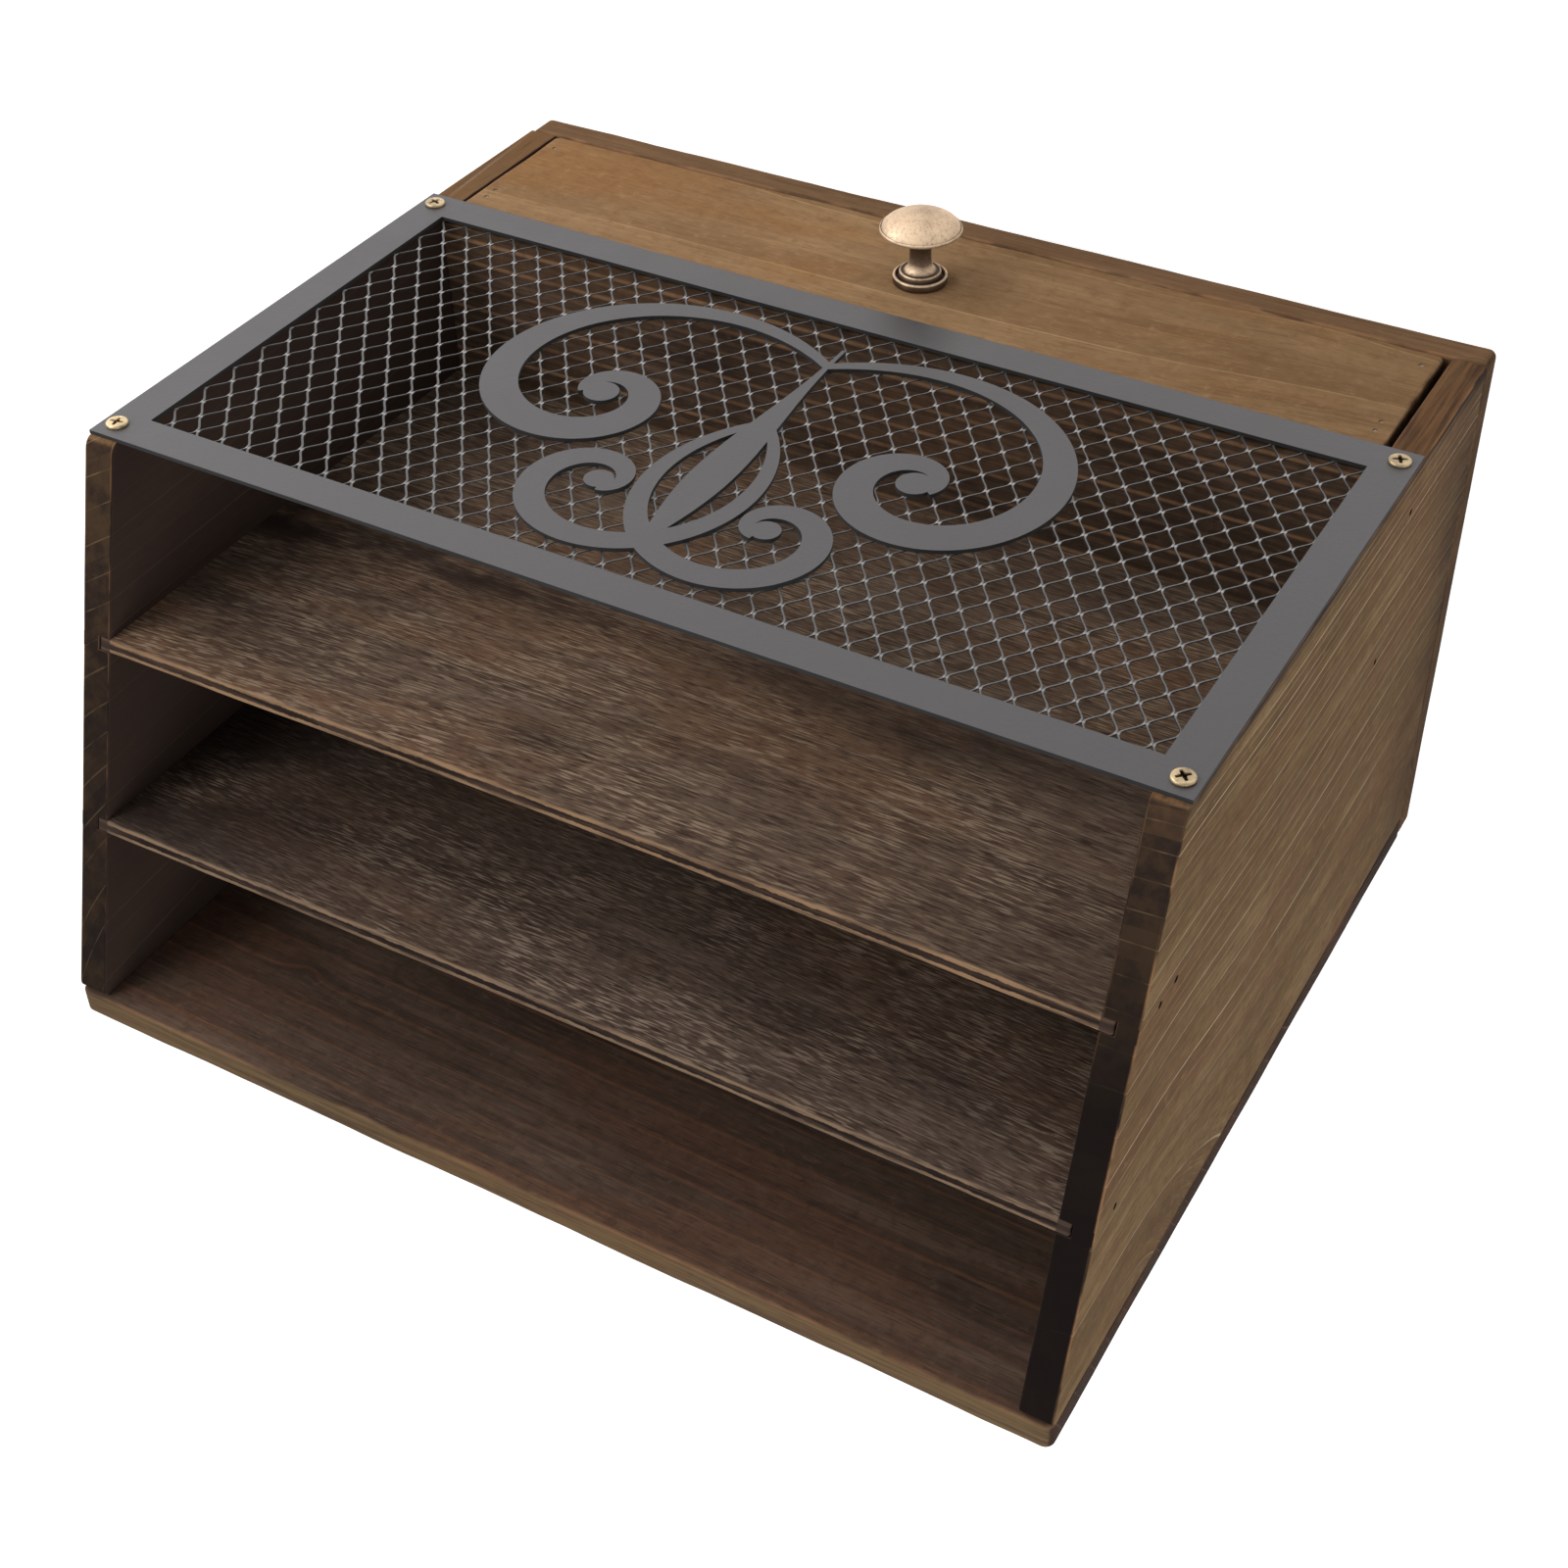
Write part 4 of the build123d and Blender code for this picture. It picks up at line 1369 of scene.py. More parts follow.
@dataclass
class Case:
    """The nailed carcass: base, two slanted sides, back, drawer shelf and two dividers.

    Attributes:
        body: Body that it rides on.
        divider_seats: First and last depth of each divider.
        seat_play: Room that a groove leaves before and behind its divider.
    """

    body: str = "case"
    divider_seats: tuple[tuple[float, float], ...] = ((-34 * MM, -30 * MM), (22 * MM, 26 * MM))
    seat_play: float = 0.1 * MM

    def boards(self) -> list[Board]:
        """Lists the boards with their wood, nails and cuts.

        Returns:
            The boards.
        """
        x, y, z = Axis.X, Axis.Y, Axis.Z
        grooves = tuple((start - self.seat_play, stop + self.seat_play) for start, stop in self.divider_seats)
        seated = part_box("left_side")[1].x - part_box("front_divider")[0].x
        pine = dict(body=self.body, slot="pine_stained")
        side = dict(corner=3 * MM, uneven=0.2, foot_corner=0.3, slanted=True, grooves=grooves, **pine)
        ply = dict(
            body=self.body, slot="plywood_stained", corner=1.2 * MM, arris=0.5 * MM,
            slanted=True, seated=seated,
        )
        left = StainedWood(
            "left_side_pine", z, y, x, WALNUT,
            Trunk(88 * MM, 205 * MM, spacing=49 * MM, shift=-0.54, jitter=0.15, power=2),
            line_width=0.24 * MM, line_strength=1.0, wear=0.6, contrast=1.15, seed=11,
            bends=(
                Bend(260 * MM, 0, 62 * MM, 1, sink=39 * MM),
                Bend(80 * MM, 70 * MM, 90 * MM, 26 * MM, calm=0.8),
                Bend(20 * MM, 20 * MM, 40 * MM, 50 * MM, calm=0.5),
                # Painted shade: darker towards the foot, and a painted shadow in a thin band along the front
                # edge, beside the steel frame.
                Bend(0, 0, 34 * MM, 1, dark=0.75),
                Bend(150 * MM, -90 * MM, 300 * MM, 3 * MM, dark=1.0),
            ),
        )
        right = StainedWood(
            "right_side_pine", z, y, x, WALNUT, Trunk(110 * MM, -0.07, taper=0.05, spacing=8 * MM),
            line_width=0.28 * MM, line_strength=0.8, wear=0.6, seed=23,
        )
        back = StainedWood(
            "back_board_pine", x, z, y, UMBER, Trunk(-0.03, 0.09, taper=0.03, spacing=9 * MM),
            line_width=0.8 * MM, line_strength=0.4, seed=31, ends=0.25,
            bends=(Bend(108 * MM, 241 * MM, 7 * MM, 4 * MM, lift=3 * MM, dark=0.6),),
        )
        base = StainedWood(
            "base_board_pine", x, y, z, OAK_BROWN, Trunk(0.03, 0.05, taper=0.02, spacing=4 * MM),
            line_strength=0.2, wear=0.4, seed=43, ends=0.4,
        )
        shelf = StainedWood(
            "drawer_shelf_pine", x, y, z, SHADED_SHELF_BROWN, Trunk(0.16, 0.03, taper=0.01, spacing=7.4 * MM),
            line_width=0.9 * MM, line_strength=0.85, seed=53,
        )
        front_ply = StainedWood(
            "front_divider_ply", x, z, y, PLY, Trunk(0.30, 0.12, taper=0.02, spacing=14 * MM),
            line_width=0.9 * MM, line_strength=0.2, fleck=0.6, grain=0.7, seed=61, plies=True,
            bends=(
                Bend(21 * MM, 227 * MM, 11 * MM, 6 * MM, dark=0.6),
                Bend(-75 * MM, 177 * MM, 20 * MM, 13 * MM, dark=0.35),
                Bend(82 * MM, 174 * MM, 36 * MM, 17 * MM, dark=0.4),
                # Painted shade towards the +X end, where the side panel shades the compartment.
                Bend(155 * MM, 200 * MM, 60 * MM, 70 * MM, dark=0.7),
                Bend(-150 * MM, 235 * MM, 50 * MM, 22 * MM, dark=0.4),
                Bend(46 * MM, 199 * MM, 26 * MM, 8 * MM, warm=0.8),
                Bend(92 * MM, 205 * MM, 48 * MM, 4 * MM, warm=0.8),
                # Painted shade: a darker band across the face at 168 mm high, deep in the compartment.
                Bend(0, 168 * MM, 1, 16 * MM, dark=0.55),
            ),
        )
        rear_ply = StainedWood(
            "rear_divider_ply", x, z, y, GREY_PLY, Trunk(0.35, 0.10, taper=-0.02, spacing=14 * MM),
            line_strength=0.0, fleck=0.75, grain=0.6, seed=71, plies=True,
            bends=(
                # Painted shade towards the +X end, where the side panel shades the compartment.
                Bend(150 * MM, 240 * MM, 80 * MM, 120 * MM, dark=0.8),
                Bend(-30 * MM, 215 * MM, 60 * MM, 20 * MM, dark=0.3),
            ),
        )
        return [
            Board(
                "base_board", finish=base, corner=2.4 * MM, arris=1.2 * MM, uneven=0.25,
                nails=(Nails("base_nails", z, 0),), seed=1, **pine,
            ),
            Board(
                "left_side", finish=left, arris=0.5 * MM, inner=1, dark_top=1.0,
                nails=(Nails("side_nails", x, 0),), seed=2, **side,
            ),
            Board(
                "right_side", finish=right, arris=0.6 * MM, inner=-1, dark_top=0.55,
                nails=(Nails("side_nails", x, 1),), seed=3, **side,
            ),
            Board(
                "back_board", finish=back, corner=3 * MM, foot_corner=0.3, arris=1.1 * MM,
                nails=(Nails("back_nails", y, 1),), seed=4, **pine,
            ),
            Board("drawer_shelf", finish=shelf, arris=0.6 * MM, seed=5, **pine),
            Board("front_divider", finish=front_ply, bow=1.6 * MM, seed=6, **ply),
            Board("rear_divider", finish=rear_ply, bow=1.2 * MM, seed=7, **ply),
        ]

    def build(self) -> list[bpy.types.Object]:
        """Builds the boards and dresses the nails.

        Returns:
            The pieces.
        """
        pieces = [board.build() for board in self.boards()]
        nail = BareMetal(
            "darkened_nail", paint(60, 52, 46), paint(28, 22, 18),
            roughness=0.5, specks=0.6, speck_size=0.5 * MM,
        ).dress()
        return pieces + [refinish(node, nail) for node in ("side_nails", "base_nails", "back_nails")]


@dataclass
class FrameScrews:
    """The frame's four brass screws: low domed heads with a bevelled rim and a cross recess, on shanks.

    Attributes:
        body: Body that they ride on.
        radius: Radius of a head.
        shank: Radius of a shank.
        foot: Height of the head's lower rim.
        crown: Height of the head's middle before its recess, in millimetres.
        dome: How far the dome falls to the rim, in millimetres.
        bevel: How far the rim's bevel falls, in millimetres.
        recess: Depth of the recess, in millimetres.
        arm_width: Half the width of the recess's arms, in millimetres.
        arm_length: Length of the arms, in millimetres.
        turns: How far each screw is turned, in radians.
        rows: Circles of points across a head.
        segments: Points round a head.
    """

    body: str = "case"
    radius: float = 3.2 * MM
    shank: float = 1.4 * MM
    foot: float = 0.15 * MM
    crown: float = 1.15
    dome: float = 0.18
    bevel: float = 0.42
    recess: float = 0.95
    arm_width: float = 0.62
    arm_length: float = 2.05
    turns: tuple[float, ...] = (0.4, 1.2, 0.75, 0.2)
    rows: int = 30
    segments: int = 96

    def head(self, shank: float) -> tuple[np.ndarray, np.ndarray, np.ndarray, np.ndarray]:
        """Works out one screw on a polar grid, from its crown over its rim and down its shank.

        The height is a low dome with a bevelled rim, less a cross-shaped recess: a point is in it where
        the smaller of its two distances from the cross's arms is under the arm's half width and the
        larger is under the arm's length.

        Args:
            shank: Height of the shank's end against the frame's face.

        Returns:
            Angle round the head, radius, height over the frame's face, and depth in the recess.
        """
        angles = np.linspace(0, 2 * np.pi, self.segments, endpoint=False)
        rows = np.concatenate([[0], np.linspace(0.12, 1, self.rows)]) * self.radius
        r, turn = np.meshgrid(rows, angles, indexing="ij")
        u, v = np.abs(r * np.cos(turn)) / MM, np.abs(r * np.sin(turn)) / MM
        side, reach = np.minimum(u, v), np.maximum(u, v)
        arm = np.clip((self.arm_width - 0.12 * reach - side) / 0.14, 0, 1)
        arm = arm * np.clip((self.arm_length - reach) / 0.2, 0, 1)
        rim = np.clip((r / self.radius - 0.86) / 0.14, 0, 1)
        dome = self.dome * (r / self.radius) ** 2
        height = (self.crown - dome - self.bevel * rim**2 - self.recess * arm) * MM
        below = np.array([
            (self.radius, self.foot), (self.radius * 0.96, 0),
            (self.shank, 0), (self.shank, shank), (0, shank),
        ])
        wall = np.ones(self.segments)
        recess = np.concatenate([arm, np.zeros((len(below), self.segments))])
        r = np.concatenate([r, below[:, :1] * wall])
        height = np.concatenate([height, below[:, 1:] * wall])
        return angles, r, height, recess

    def build(self) -> bpy.types.Object:
        """Builds and dresses the screws, one at each corner of their node's box.

        Returns:
            The piece.
        """
        low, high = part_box("frame_screws")
        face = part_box("mesh_frame")[0].y
        angles, r, height, recess = self.head(face - high.y)
        quads = ring_quads(len(r), self.segments)[:, ::-1]
        left, right = low.x + self.radius, high.x - self.radius
        bottom, top = low.z + self.radius, high.z - self.radius
        places = (left, bottom), (right, bottom), (left, top), (right, top)
        shells, faces = [], []
        for number, ((x, z), turn) in enumerate(zip(places, self.turns)):
            points = x + r * np.cos(angles + turn), face - height, z + r * np.sin(angles + turn)
            shells.append(np.stack(points, 2).reshape(-1, 3))
            faces.append(quads + number * r.size)
        piece = make_piece("frame_screw_heads", np.concatenate(shells), np.concatenate(faces), 35)
        edge = 0.35 * (np.abs(r / self.radius - 0.97) < 0.04)
        store(piece, "tarnish", np.tile(np.maximum(recess, edge).ravel(), len(self.turns)))
        merge_doubles(piece, 0.001 * MM)
        brass = BareMetal(
            "screw_brass", paint(200, 178, 142), paint(40, 30, 24),
            roughness=0.4, specks=0.25, speck_size=0.9 * MM, relief=0.02 * MM, aged=True,
        )
        piece.data.materials.append(brass.dress())
        return settle(piece, self.body, "brass_screws", "frame_screws")


@dataclass
class SteelFront:
    """The steel front: an expanded mesh behind a cut sheet frame, a scroll ornament and four screws.

    Attributes:
        body: Body that it rides on.
        pitch: Distance from strand to strand.
        period: Height of one wave of a strand.
        swing: How far a strand swings each way.
        harmonic: Share of the wave's third harmonic.
        strand: Width and thickness of a strand.
        twist: How far a strand turns where it leans, in degrees.
        depth: Place of the mesh's middle along Y.
        reach: How far the mesh may reach in front of its middle and behind it.
        samples: Points along one wave.
        screws: The frame's screws.
    """

    body: str = "case"
    pitch: float = 4.5 * MM
    period: float = 12.85 * MM
    swing: float = 1.95 * MM
    harmonic: float = 0.025
    strand: tuple[float, float] = (0.78 * MM, 0.42 * MM)
    twist: float = -32.0
    depth: float = -89.5 * MM
    reach: float = 0.47 * MM
    samples: int = 12
    screws: FrameScrews = field(default_factory=FrameScrews)

    def section(self) -> np.ndarray:
        """Lists the corners of a strand's section: a thin rectangle with two opposite corners cut.

        Returns:
            Sideways and forward places, one row for each corner.
        """
        wide, thick = self.strand[0] / 2, self.strand[1] / 2
        return np.array([
            [-wide, -thick], [wide * 0.6, -thick], [wide, -thick * 0.4],
            [wide, thick], [-wide * 0.6, thick], [-wide, thick * 0.4],
        ])

    def strands(self) -> tuple[np.ndarray, np.ndarray, np.ndarray]:
        """Works out the expanded mesh.

        Each strand runs upwards and swings left and right as a sine less a little of its third harmonic,
        and its neighbours swing the other way, so that they meet at every half wave. Its section is
        turned about the strand one way where it leans left and the other where it leans right.

        Returns:
            The points, the quads' corner numbers, and how near each point lies to a bond, from 0 to 1.
        """
        low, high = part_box("mesh_grille")
        count = int((high.x - low.x - 2 * self.swing) / self.pitch) + 1
        first = (low.x + high.x - (count - 1) * self.pitch) / 2
        steps = int((high.z - low.z) / self.period * self.samples)
        z = np.linspace(low.z, high.z, steps + 1)
        side = np.where(np.arange(count) % 2, 1, -1)[:, None]
        phase = 2 * np.pi * (z - low.z)[None] / self.period
        third, peak = self.harmonic, 1 + self.harmonic
        wave = (np.sin(phase) - third * np.sin(3 * phase)) / peak
        lean = (np.cos(phase) - 3 * third * np.cos(3 * phase)) / peak * 2 * np.pi / self.period
        x = first + np.arange(count)[:, None] * self.pitch + side * self.swing * wave
        slope = side * self.swing * lean
        turn = np.radians(self.twist) * np.tanh(3 * slope)[..., None]
        length = np.hypot(slope, 1)[..., None]
        across, forward = self.section().T
        a = across * np.cos(turn) - forward * np.sin(turn)
        b = across * np.sin(turn) + forward * np.cos(turn)
        points = np.stack([
            x[..., None] + a / length,
            np.clip(self.depth - b, self.depth - self.reach, self.depth + self.reach),
            np.clip(z[:, None] - a * (slope[..., None] / length), low.z, high.z),
        ], -1)
        number = np.arange(points[..., 0].size).reshape(a.shape)
        ahead = np.roll(number, -1, 2)
        walls = np.stack([number[:, :-1], ahead[:, :-1], ahead[:, 1:], number[:, 1:]], -1).reshape(-1, 4)
        # Two quads close each six-cornered end.
        foot = number[:, 0][:, [[0, 5, 2, 1], [5, 4, 3, 2]]].reshape(-1, 4)
        head = number[:, -1][:, [[0, 1, 2, 5], [2, 3, 4, 5]]].reshape(-1, 4)
        bond = np.broadcast_to((wave**36)[..., None], a.shape)
        return points.reshape(-1, 3), np.concatenate([walls, foot, head]), bond.ravel()

    def mesh(self) -> bpy.types.Object:
        """Builds and dresses the expanded mesh.

        Returns:
            The piece.
        """
        points, quads, bond = self.strands()
        piece = make_piece("expanded_mesh", points, quads, 30)
        store(piece, "bond", bond)
        steel = SatinSteel(
            "mesh_steel", paint(92, 90, 90), paint(116, 113, 112), skin=0.03 * MM, bonds=True, shaded_edges=True
        )
        piece.data.materials.append(steel.dress())
        return settle(piece, self.body, "grey_steel_mesh", "mesh_grille")

    def sheet(self, node: str, material: bpy.types.Material, edge: float) -> bpy.types.Object:
        """Rebuilds a cut steel sheet with softened edges.

        Args:
            node: Name of its node.
            material: Its finish.
            edge: Width of the softened edge.

        Returns:
            The piece.
        """
        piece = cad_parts[node].copy()
        piece.data = piece.data.copy()
        piece.name = f"{node}_steel"
        piece.parent = None
        piece.matrix_world = Matrix.Identity(4)
        for key in list(piece.keys()):
            del piece[key]
        bpy.context.scene.collection.objects.link(piece)
        merge_doubles(piece, 0.002 * MM)
        shape = bmesh.new()
        shape.from_mesh(piece.data)
        bmesh.ops.dissolve_limit(shape, angle_limit=math.radians(0.5), verts=shape.verts, edges=shape.edges)
        shape.to_mesh(piece.data)
        shape.free()
        piece.data.materials.clear()
        piece.data.materials.append(material)
        piece.data.shade_smooth()
        piece.data.set_sharp_from_angle(angle=math.radians(50))
        bevel = piece.modifiers.new("softened_edge", "BEVEL")
        bevel.width = edge
        bevel.segments = 2
        bevel.limit_method = "ANGLE"
        bevel.angle_limit = math.radians(60)
        bevel.harden_normals = True
        return settle(piece, self.body, "black_steel", node)

    def build(self) -> list[bpy.types.Object]:
        """Builds the mesh, the frame, the ornament and the screws.

        Returns:
            The pieces.
        """
        steel = SatinSteel("black_satin_steel", paint(63, 60, 61), paint(74, 70, 71), shaded_edges=True).dress()
        return [
            self.mesh(),
            self.sheet("mesh_frame", steel, 0.25 * MM),
            self.sheet("scroll_ornament", steel, 0.22 * MM),
            self.screws.build(),
        ]


@dataclass
class Knob:
    """The turned brass knob: a round foot, a thin stem that flares, and a domed cap with a thin rim.

    Attributes:
        body: Body that it rides on.
        crown: Height of the cap's top, in millimetres.
        shoulder: Height of the dome's edge, in millimetres.
        dome_radius: Radius of the dome's edge, in millimetres.
        segments: Points round the knob.
    """

    body: str = "drawer"
    crown: float = 22.7
    shoulder: float = 18.05
    dome_radius: float = 11.9
    segments: int = 80

    def profile(self) -> np.ndarray:
        """Lists the turned shape from the foot to the crown, in millimetres.

        The cap's front is a flattened arc: its height is a power of the sine of the angle round it.

        Returns:
            Radius, height, and how dark the tarnish lies, one row for each point.
        """
        foot = [
            (0, 0, 1), (8.0, 0, 1), (8.35, 0.2, 1), (8.4, 0.6, 0.9), (8.4, 2.0, 0.8), (8.3, 2.4, 0.1),
            (8.0, 2.65, 0.1), (7.6, 2.6, 0.6), (7.3, 2.1, 1), (7.0, 1.4, 1), (6.7, 1.4, 1),
            (6.5, 2.6, 0.9), (6.45, 3.4, 0.7), (6.3, 3.8, 0.1), (6.0, 3.95, 0.5), (5.7, 3.9, 0.9),
            (5.4, 3.75, 1), (5.1, 3.8, 0.9),
        ]
        stem = [
            (4.7, 4.1, 0.5), (4.2, 4.7, 0.15), (3.75, 5.5, 0.25), (3.45, 6.8, 0.7), (3.3, 8.5, 0.85),
            (3.3, 10.5, 0.9), (3.4, 12.0, 0.9), (3.7, 13.2, 0.95), (4.4, 14.4, 1), (5.6, 15.4, 1),
            (7.4, 16.2, 1), (9.4, 16.7, 1), (11.4, 16.95, 0.9),
        ]
        rim = [
            (12.1, 16.95, 0.6), (12.4, 17.1, 0.1), (12.5, 17.4, 0), (12.5, 17.8, 0), (12.35, 18.1, 0),
            (12.15, 18.15, 0.6), (12.0, 18.0, 0.9),
        ]
        turn = np.linspace(0.04, 1, 18) * np.pi / 2
        dome = np.stack([
            self.dome_radius * np.cos(turn),
            self.shoulder + (self.crown - self.shoulder) * np.sin(turn) ** 1.25,
            0.22 * np.cos(turn) ** 12,
        ], 1)
        dome[-1, 0] = 0
        return np.concatenate([foot, stem, rim, dome])

    def build(self) -> bpy.types.Object:
        """Builds and dresses the knob.

        Returns:
            The piece.
        """
        low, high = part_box("knob")
        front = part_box("drawer_front")[0].y
        profile = self.profile()
        centre = (low.x + high.x) / 2, front, (low.z + high.z) / 2
        points, quads = turned(profile[:, :2] * MM, centre, self.segments)
        piece = make_piece("turned_knob", points, quads, 50)
        store(piece, "tarnish", np.repeat(profile[:, 2], self.segments))
        merge_doubles(piece, 0.001 * MM)
        brass = BareMetal(
            "antique_brass", paint(204, 180, 153), paint(84, 66, 52),
            roughness=0.6, specks=0.42, speck_size=0.7 * MM, relief=0.012 * MM, aged=True, clouds=0.3,
        )
        piece.data.materials.append(brass.dress())
        return settle(piece, self.body, "antique_brass", "knob")


@dataclass
class Drawer:
    """The drawer: a golden front, pale sides and back, a thin bottom and the knob.

    Attributes:
        body: Body that it rides on.
        knob: Its knob.
    """

    body: str = "drawer"
    knob: Knob = field(default_factory=Knob)

    def boards(self) -> list[Board]:
        """Lists the drawer's boards.

        Returns:
            The boards.
        """
        x, y, z = Axis.X, Axis.Y, Axis.Z
        pine = dict(body=self.body, slot="pine_stained")
        front = StainedWood(
            "drawer_front_pine", x, z, y, GOLDEN, Trunk(-1, 0, spacing=37.6 * MM, shift=-0.1277, jitter=0),
            line_width=0.5 * MM, line_strength=0.55, contrast=0.9, grain=0.7, seed=83,
            bends=(
                Bend(-160 * MM, 55 * MM, 67 * MM, 25 * MM, lift=12 * MM),
                Bend(-115 * MM, 16 * MM, 25 * MM, 12 * MM, lift=4 * MM),
                Bend(160 * MM, 14 * MM, 70 * MM, 15 * MM, lift=9 * MM),
                Bend(-120 * MM, 35 * MM, 80 * MM, 60 * MM, dark=0.25),
            ),
        )
        side = StainedWood(
            "drawer_side_pine", y, z, x, BARE, Trunk(0.02, 0.04, taper=0.02, spacing=5 * MM),
            line_strength=0.4, seed=91,
        )
        back = StainedWood(
            "drawer_back_pine", x, z, y, BARE, Trunk(0.06, 0.03, taper=0.02, spacing=5 * MM),
            line_strength=0.4, seed=97,
        )
        bottom = StainedWood(
            "drawer_bottom_ply", x, y, z, BARE, Trunk(0.20, 0.10, taper=0.1, spacing=12 * MM),
            line_strength=0.0, fleck=0.4, seed=103, plies=True,
        )
        return [
            Board(
                "drawer_front", self.body, "pine_drawer_front", front, corner=2.2 * MM, arris=1.2 * MM,
                nails=(Nails("drawer_front_nails", y, 0, 0.5),), seed=8,
            ),
            Board(
                "drawer_left_side", finish=side,
                nails=(Nails("drawer_back_nails", x, 0),), seed=9, **pine,
            ),
            Board(
                "drawer_right_side", finish=side,
                nails=(Nails("drawer_back_nails", x, 1),), seed=10, **pine,
            ),
            Board("drawer_back", finish=back, seed=12, **pine),
            Board(
                "drawer_bottom", self.body, "plywood_stained", bottom, corner=0.8 * MM, arris=0.3 * MM,
                nails=(Nails("drawer_bottom_nails", z, 0),), seed=13,
            ),
        ]

    def build(self) -> list[bpy.types.Object]:
        """Builds the boards and the knob, and dresses the nails and the knob's screw.

        Returns:
            The pieces.
        """
        pieces = [board.build() for board in self.boards()] + [self.knob.build()]
        nail = BareMetal(
            "bright_nail", paint(150, 140, 126), paint(70, 60, 50),
            roughness=0.4, specks=0.5, speck_size=0.5 * MM,
        ).dress()
        nodes = "knob_screw", "drawer_front_nails", "drawer_back_nails", "drawer_bottom_nails"
        return pieces + [refinish(node, nail) for node in nodes]


# ---------------------------------------------------------------------------
# Studio
# ---------------------------------------------------------------------------


@dataclass(frozen=True)
class Lamp:
    """A soft rectangular lamp.

    Attributes:
        name: Its name.
        place: Its middle.
        target: The point that it faces.
        size: Width and height.
        power: Watts.
    """

    name: str
    place: Point
    target: Point
    size: tuple[float, float]
    power: float

    def hang(self) -> None:
        """Hangs the lamp in its place, turned to its target."""
        light = bpy.data.lights.new(self.name, "AREA")
        light.shape = "RECTANGLE"
        light.size, light.size_y = self.size
        light.energy = self.power
        lamp = bpy.data.objects.new(self.name, light)
        aim = (Vector(self.target) - Vector(self.place)).to_track_quat("-Z", "Y")
        lamp.matrix_world = Matrix.Translation(self.place) @ aim.to_matrix().to_4x4()
        bpy.context.scene.collection.objects.link(lamp)


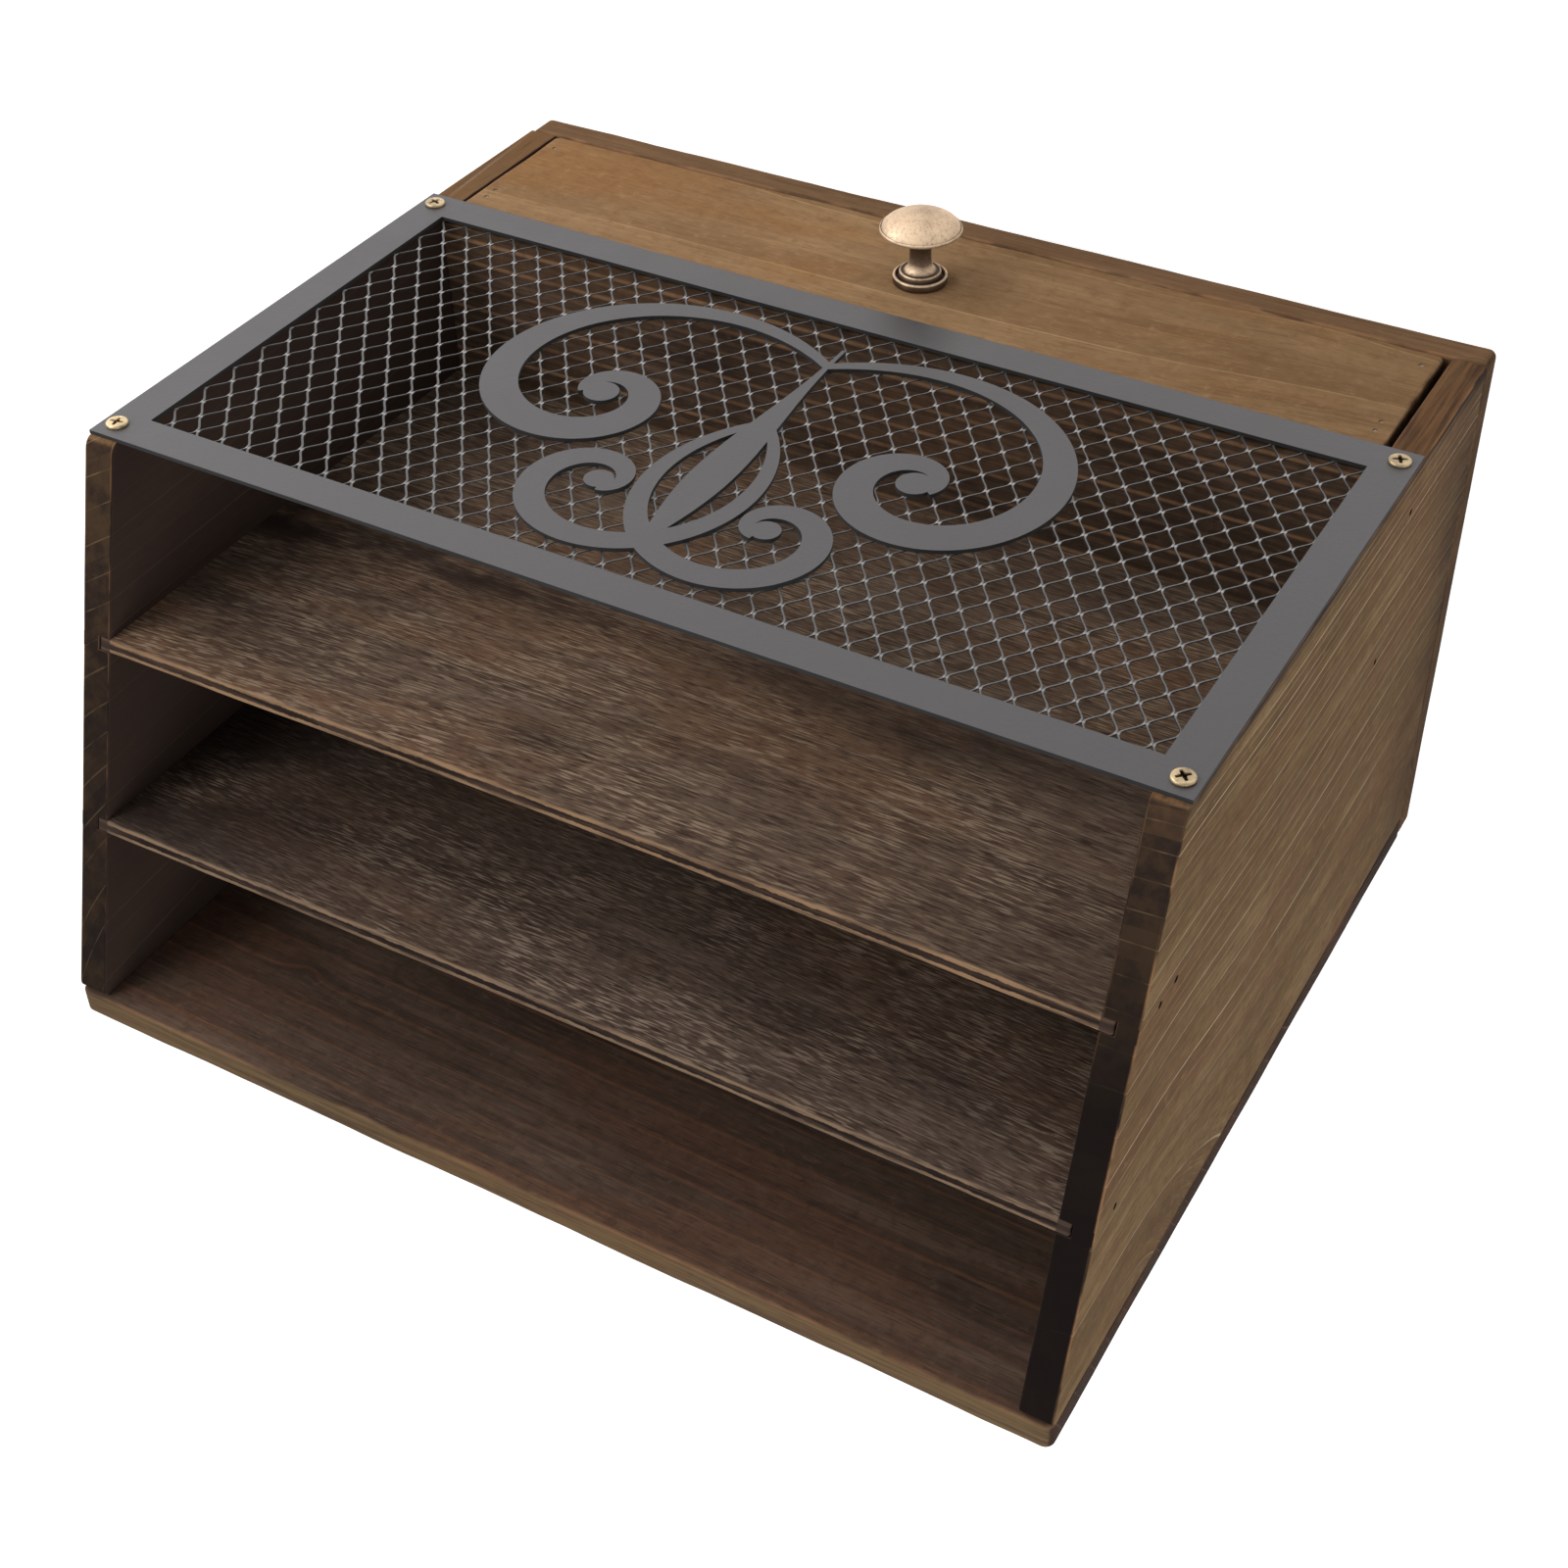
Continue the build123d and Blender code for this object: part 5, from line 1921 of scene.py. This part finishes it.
@dataclass
class Studio:
    """A pale floor, a white room, three soft lamps and the camera.

    Attributes:
        eye: Place of the camera.
        gaze: Direction that it looks in.
        rightward: Direction of its right-hand side.
        lens: Focal length in millimetres, for a 36 mm frame.
        shift: Sideways and upward shift of the frame.
        room_light: Strength of the white room as a light.
        floor_reach: How far the floor reaches each way.
        floor_glow: How much the floor glows where it is seen.
        floor_colour: The floor's pale paint.
        lamps: The soft lamps.
    """

    eye: Point = (-0.2965, -0.4502, 0.6300)
    gaze: Point = (0.3929, 0.6359, -0.6643)
    rightward: Point = (-0.8677, 0.0171, -0.4968)
    lens: float = 55.70
    shift: tuple[float, float] = (-0.0017, -0.0246)
    room_light: float = 0.4
    floor_reach: float = 3.0
    floor_glow: float = 0.62
    floor_colour: Colour = (0.8, 0.8, 0.8, 1)
    lamps: tuple[Lamp, ...] = (
        Lamp("front_lamp", (0.95, -0.90, 0.30), (0, -0.09, 0.12), (0.9, 0.5), 7),
        Lamp("upper_lamp", (0.75, -0.75, 1.05), (0, 0, 0.15), (0.7, 0.7), 9),
        Lamp("side_lamp", (-0.85, 0.25, 0.98), (-0.165, 0.03, 0.18), (0.7, 0.7), 7),
    )

    def camera(self) -> None:
        """Places the camera: its up direction is at right angles to its gaze and its right."""
        back = -Vector(self.gaze).normalized()
        right = Vector(self.rightward)
        right = (right - back * right.dot(back)).normalized()
        turn = Matrix((right, back.cross(right), back)).transposed()
        camera = bpy.data.objects.new("camera", bpy.data.cameras.new("camera"))
        camera.matrix_world = Matrix.Translation(self.eye) @ turn.to_4x4()
        camera.data.lens = self.lens
        camera.data.sensor_width = 36
        camera.data.shift_x, camera.data.shift_y = self.shift
        camera.data.clip_start = 0.01
        bpy.context.scene.collection.objects.link(camera)
        bpy.context.scene.camera = camera

    def show(
        self, tree: bpy.types.NodeTree, kind: str, lit: bpy.types.NodeSocket, seen: bpy.types.NodeSocket
    ) -> None:
        """Ends a node tree with one shader for the light that it gives and one for how it is seen.

        The second goes to rays from the camera, from mirrors and through glass.

        Args:
            tree: The tree, which has no output yet.
            kind: Type of its output node.
            lit: Shader for the light.
            seen: Shader for what is seen.
        """
        rays = tree.nodes.new("ShaderNodeLightPath")
        share = rays.outputs["Is Camera Ray"]
        for ray in ("Is Glossy Ray", "Is Transmission Ray"):
            most = tree.nodes.new("ShaderNodeMath")
            most.operation = "MAXIMUM"
            tree.links.new(share, most.inputs[0])
            tree.links.new(rays.outputs[ray], most.inputs[1])
            share = most.outputs[0]
        mixer = tree.nodes.new("ShaderNodeMixShader")
        for source, target in zip((share, lit, seen), mixer.inputs):
            tree.links.new(source, target)
        tree.links.new(mixer.outputs[0], tree.nodes.new(kind).inputs["Surface"])

    def room(self) -> None:
        """Makes the world white to look at, and gentler as a light."""
        world = bpy.data.worlds.new("white_room")
        world.use_nodes = True
        tree = world.node_tree
        tree.nodes.clear()
        shaders = []
        for strength in (self.room_light, 1.0):
            light = tree.nodes.new("ShaderNodeBackground")
            light.inputs["Color"].default_value = (1, 1, 1, 1)
            light.inputs["Strength"].default_value = strength
            shaders.append(light.outputs[0])
        self.show(tree, "ShaderNodeOutputWorld", *shaders)
        bpy.context.scene.world = world

    def floor(self) -> None:
        """Lays a flat pale floor that takes the box's shadow and looks white where it is lit."""
        across = np.linspace(-self.floor_reach, self.floor_reach, 13)
        x, y = np.meshgrid(across, across, indexing="ij")
        points = np.stack([x, y, np.full(x.shape, CAD_BOUNDS[0][2])], 2).reshape(-1, 3)
        number = np.arange(x.size).reshape(x.shape)
        corners = number[:-1, :-1], number[1:, :-1], number[1:, 1:], number[:-1, 1:]
        floor = make_piece("floor", points, np.stack([corner.ravel() for corner in corners], 1))
        material = bpy.data.materials.new("pale_floor")
        material.use_nodes = True
        tree = material.node_tree
        tree.nodes.clear()
        matt = tree.nodes.new("ShaderNodeBsdfDiffuse")
        matt.inputs["Color"].default_value = self.floor_colour
        glow = tree.nodes.new("ShaderNodeEmission")
        glow.inputs["Strength"].default_value = self.floor_glow
        both = tree.nodes.new("ShaderNodeAddShader")
        tree.links.new(matt.outputs[0], both.inputs[0])
        tree.links.new(glow.outputs[0], both.inputs[1])
        self.show(tree, "ShaderNodeOutputMaterial", matt.outputs[0], both.outputs[0])
        floor.data.materials.append(material)

    def build(self) -> None:
        """Sets up the room, the floor, the lamps and the camera."""
        self.camera()
        self.room()
        self.floor()
        for lamp in self.lamps:
            lamp.hang()


def main() -> None:
    """Builds the letter box and its studio, and writes how big the result is."""
    logging.basicConfig(level=logging.INFO, format="%(message)s")
    scene = bpy.context.scene
    scene.view_settings.view_transform = "Standard"
    for assembly in (Case(), SteelFront(), Drawer()):
        for piece in assembly.build():
            log.info("%s: %s, %d faces", type(assembly).__name__, piece.name, len(piece.data.polygons))
    Studio().build()


if __name__ == "__main__":
    main()
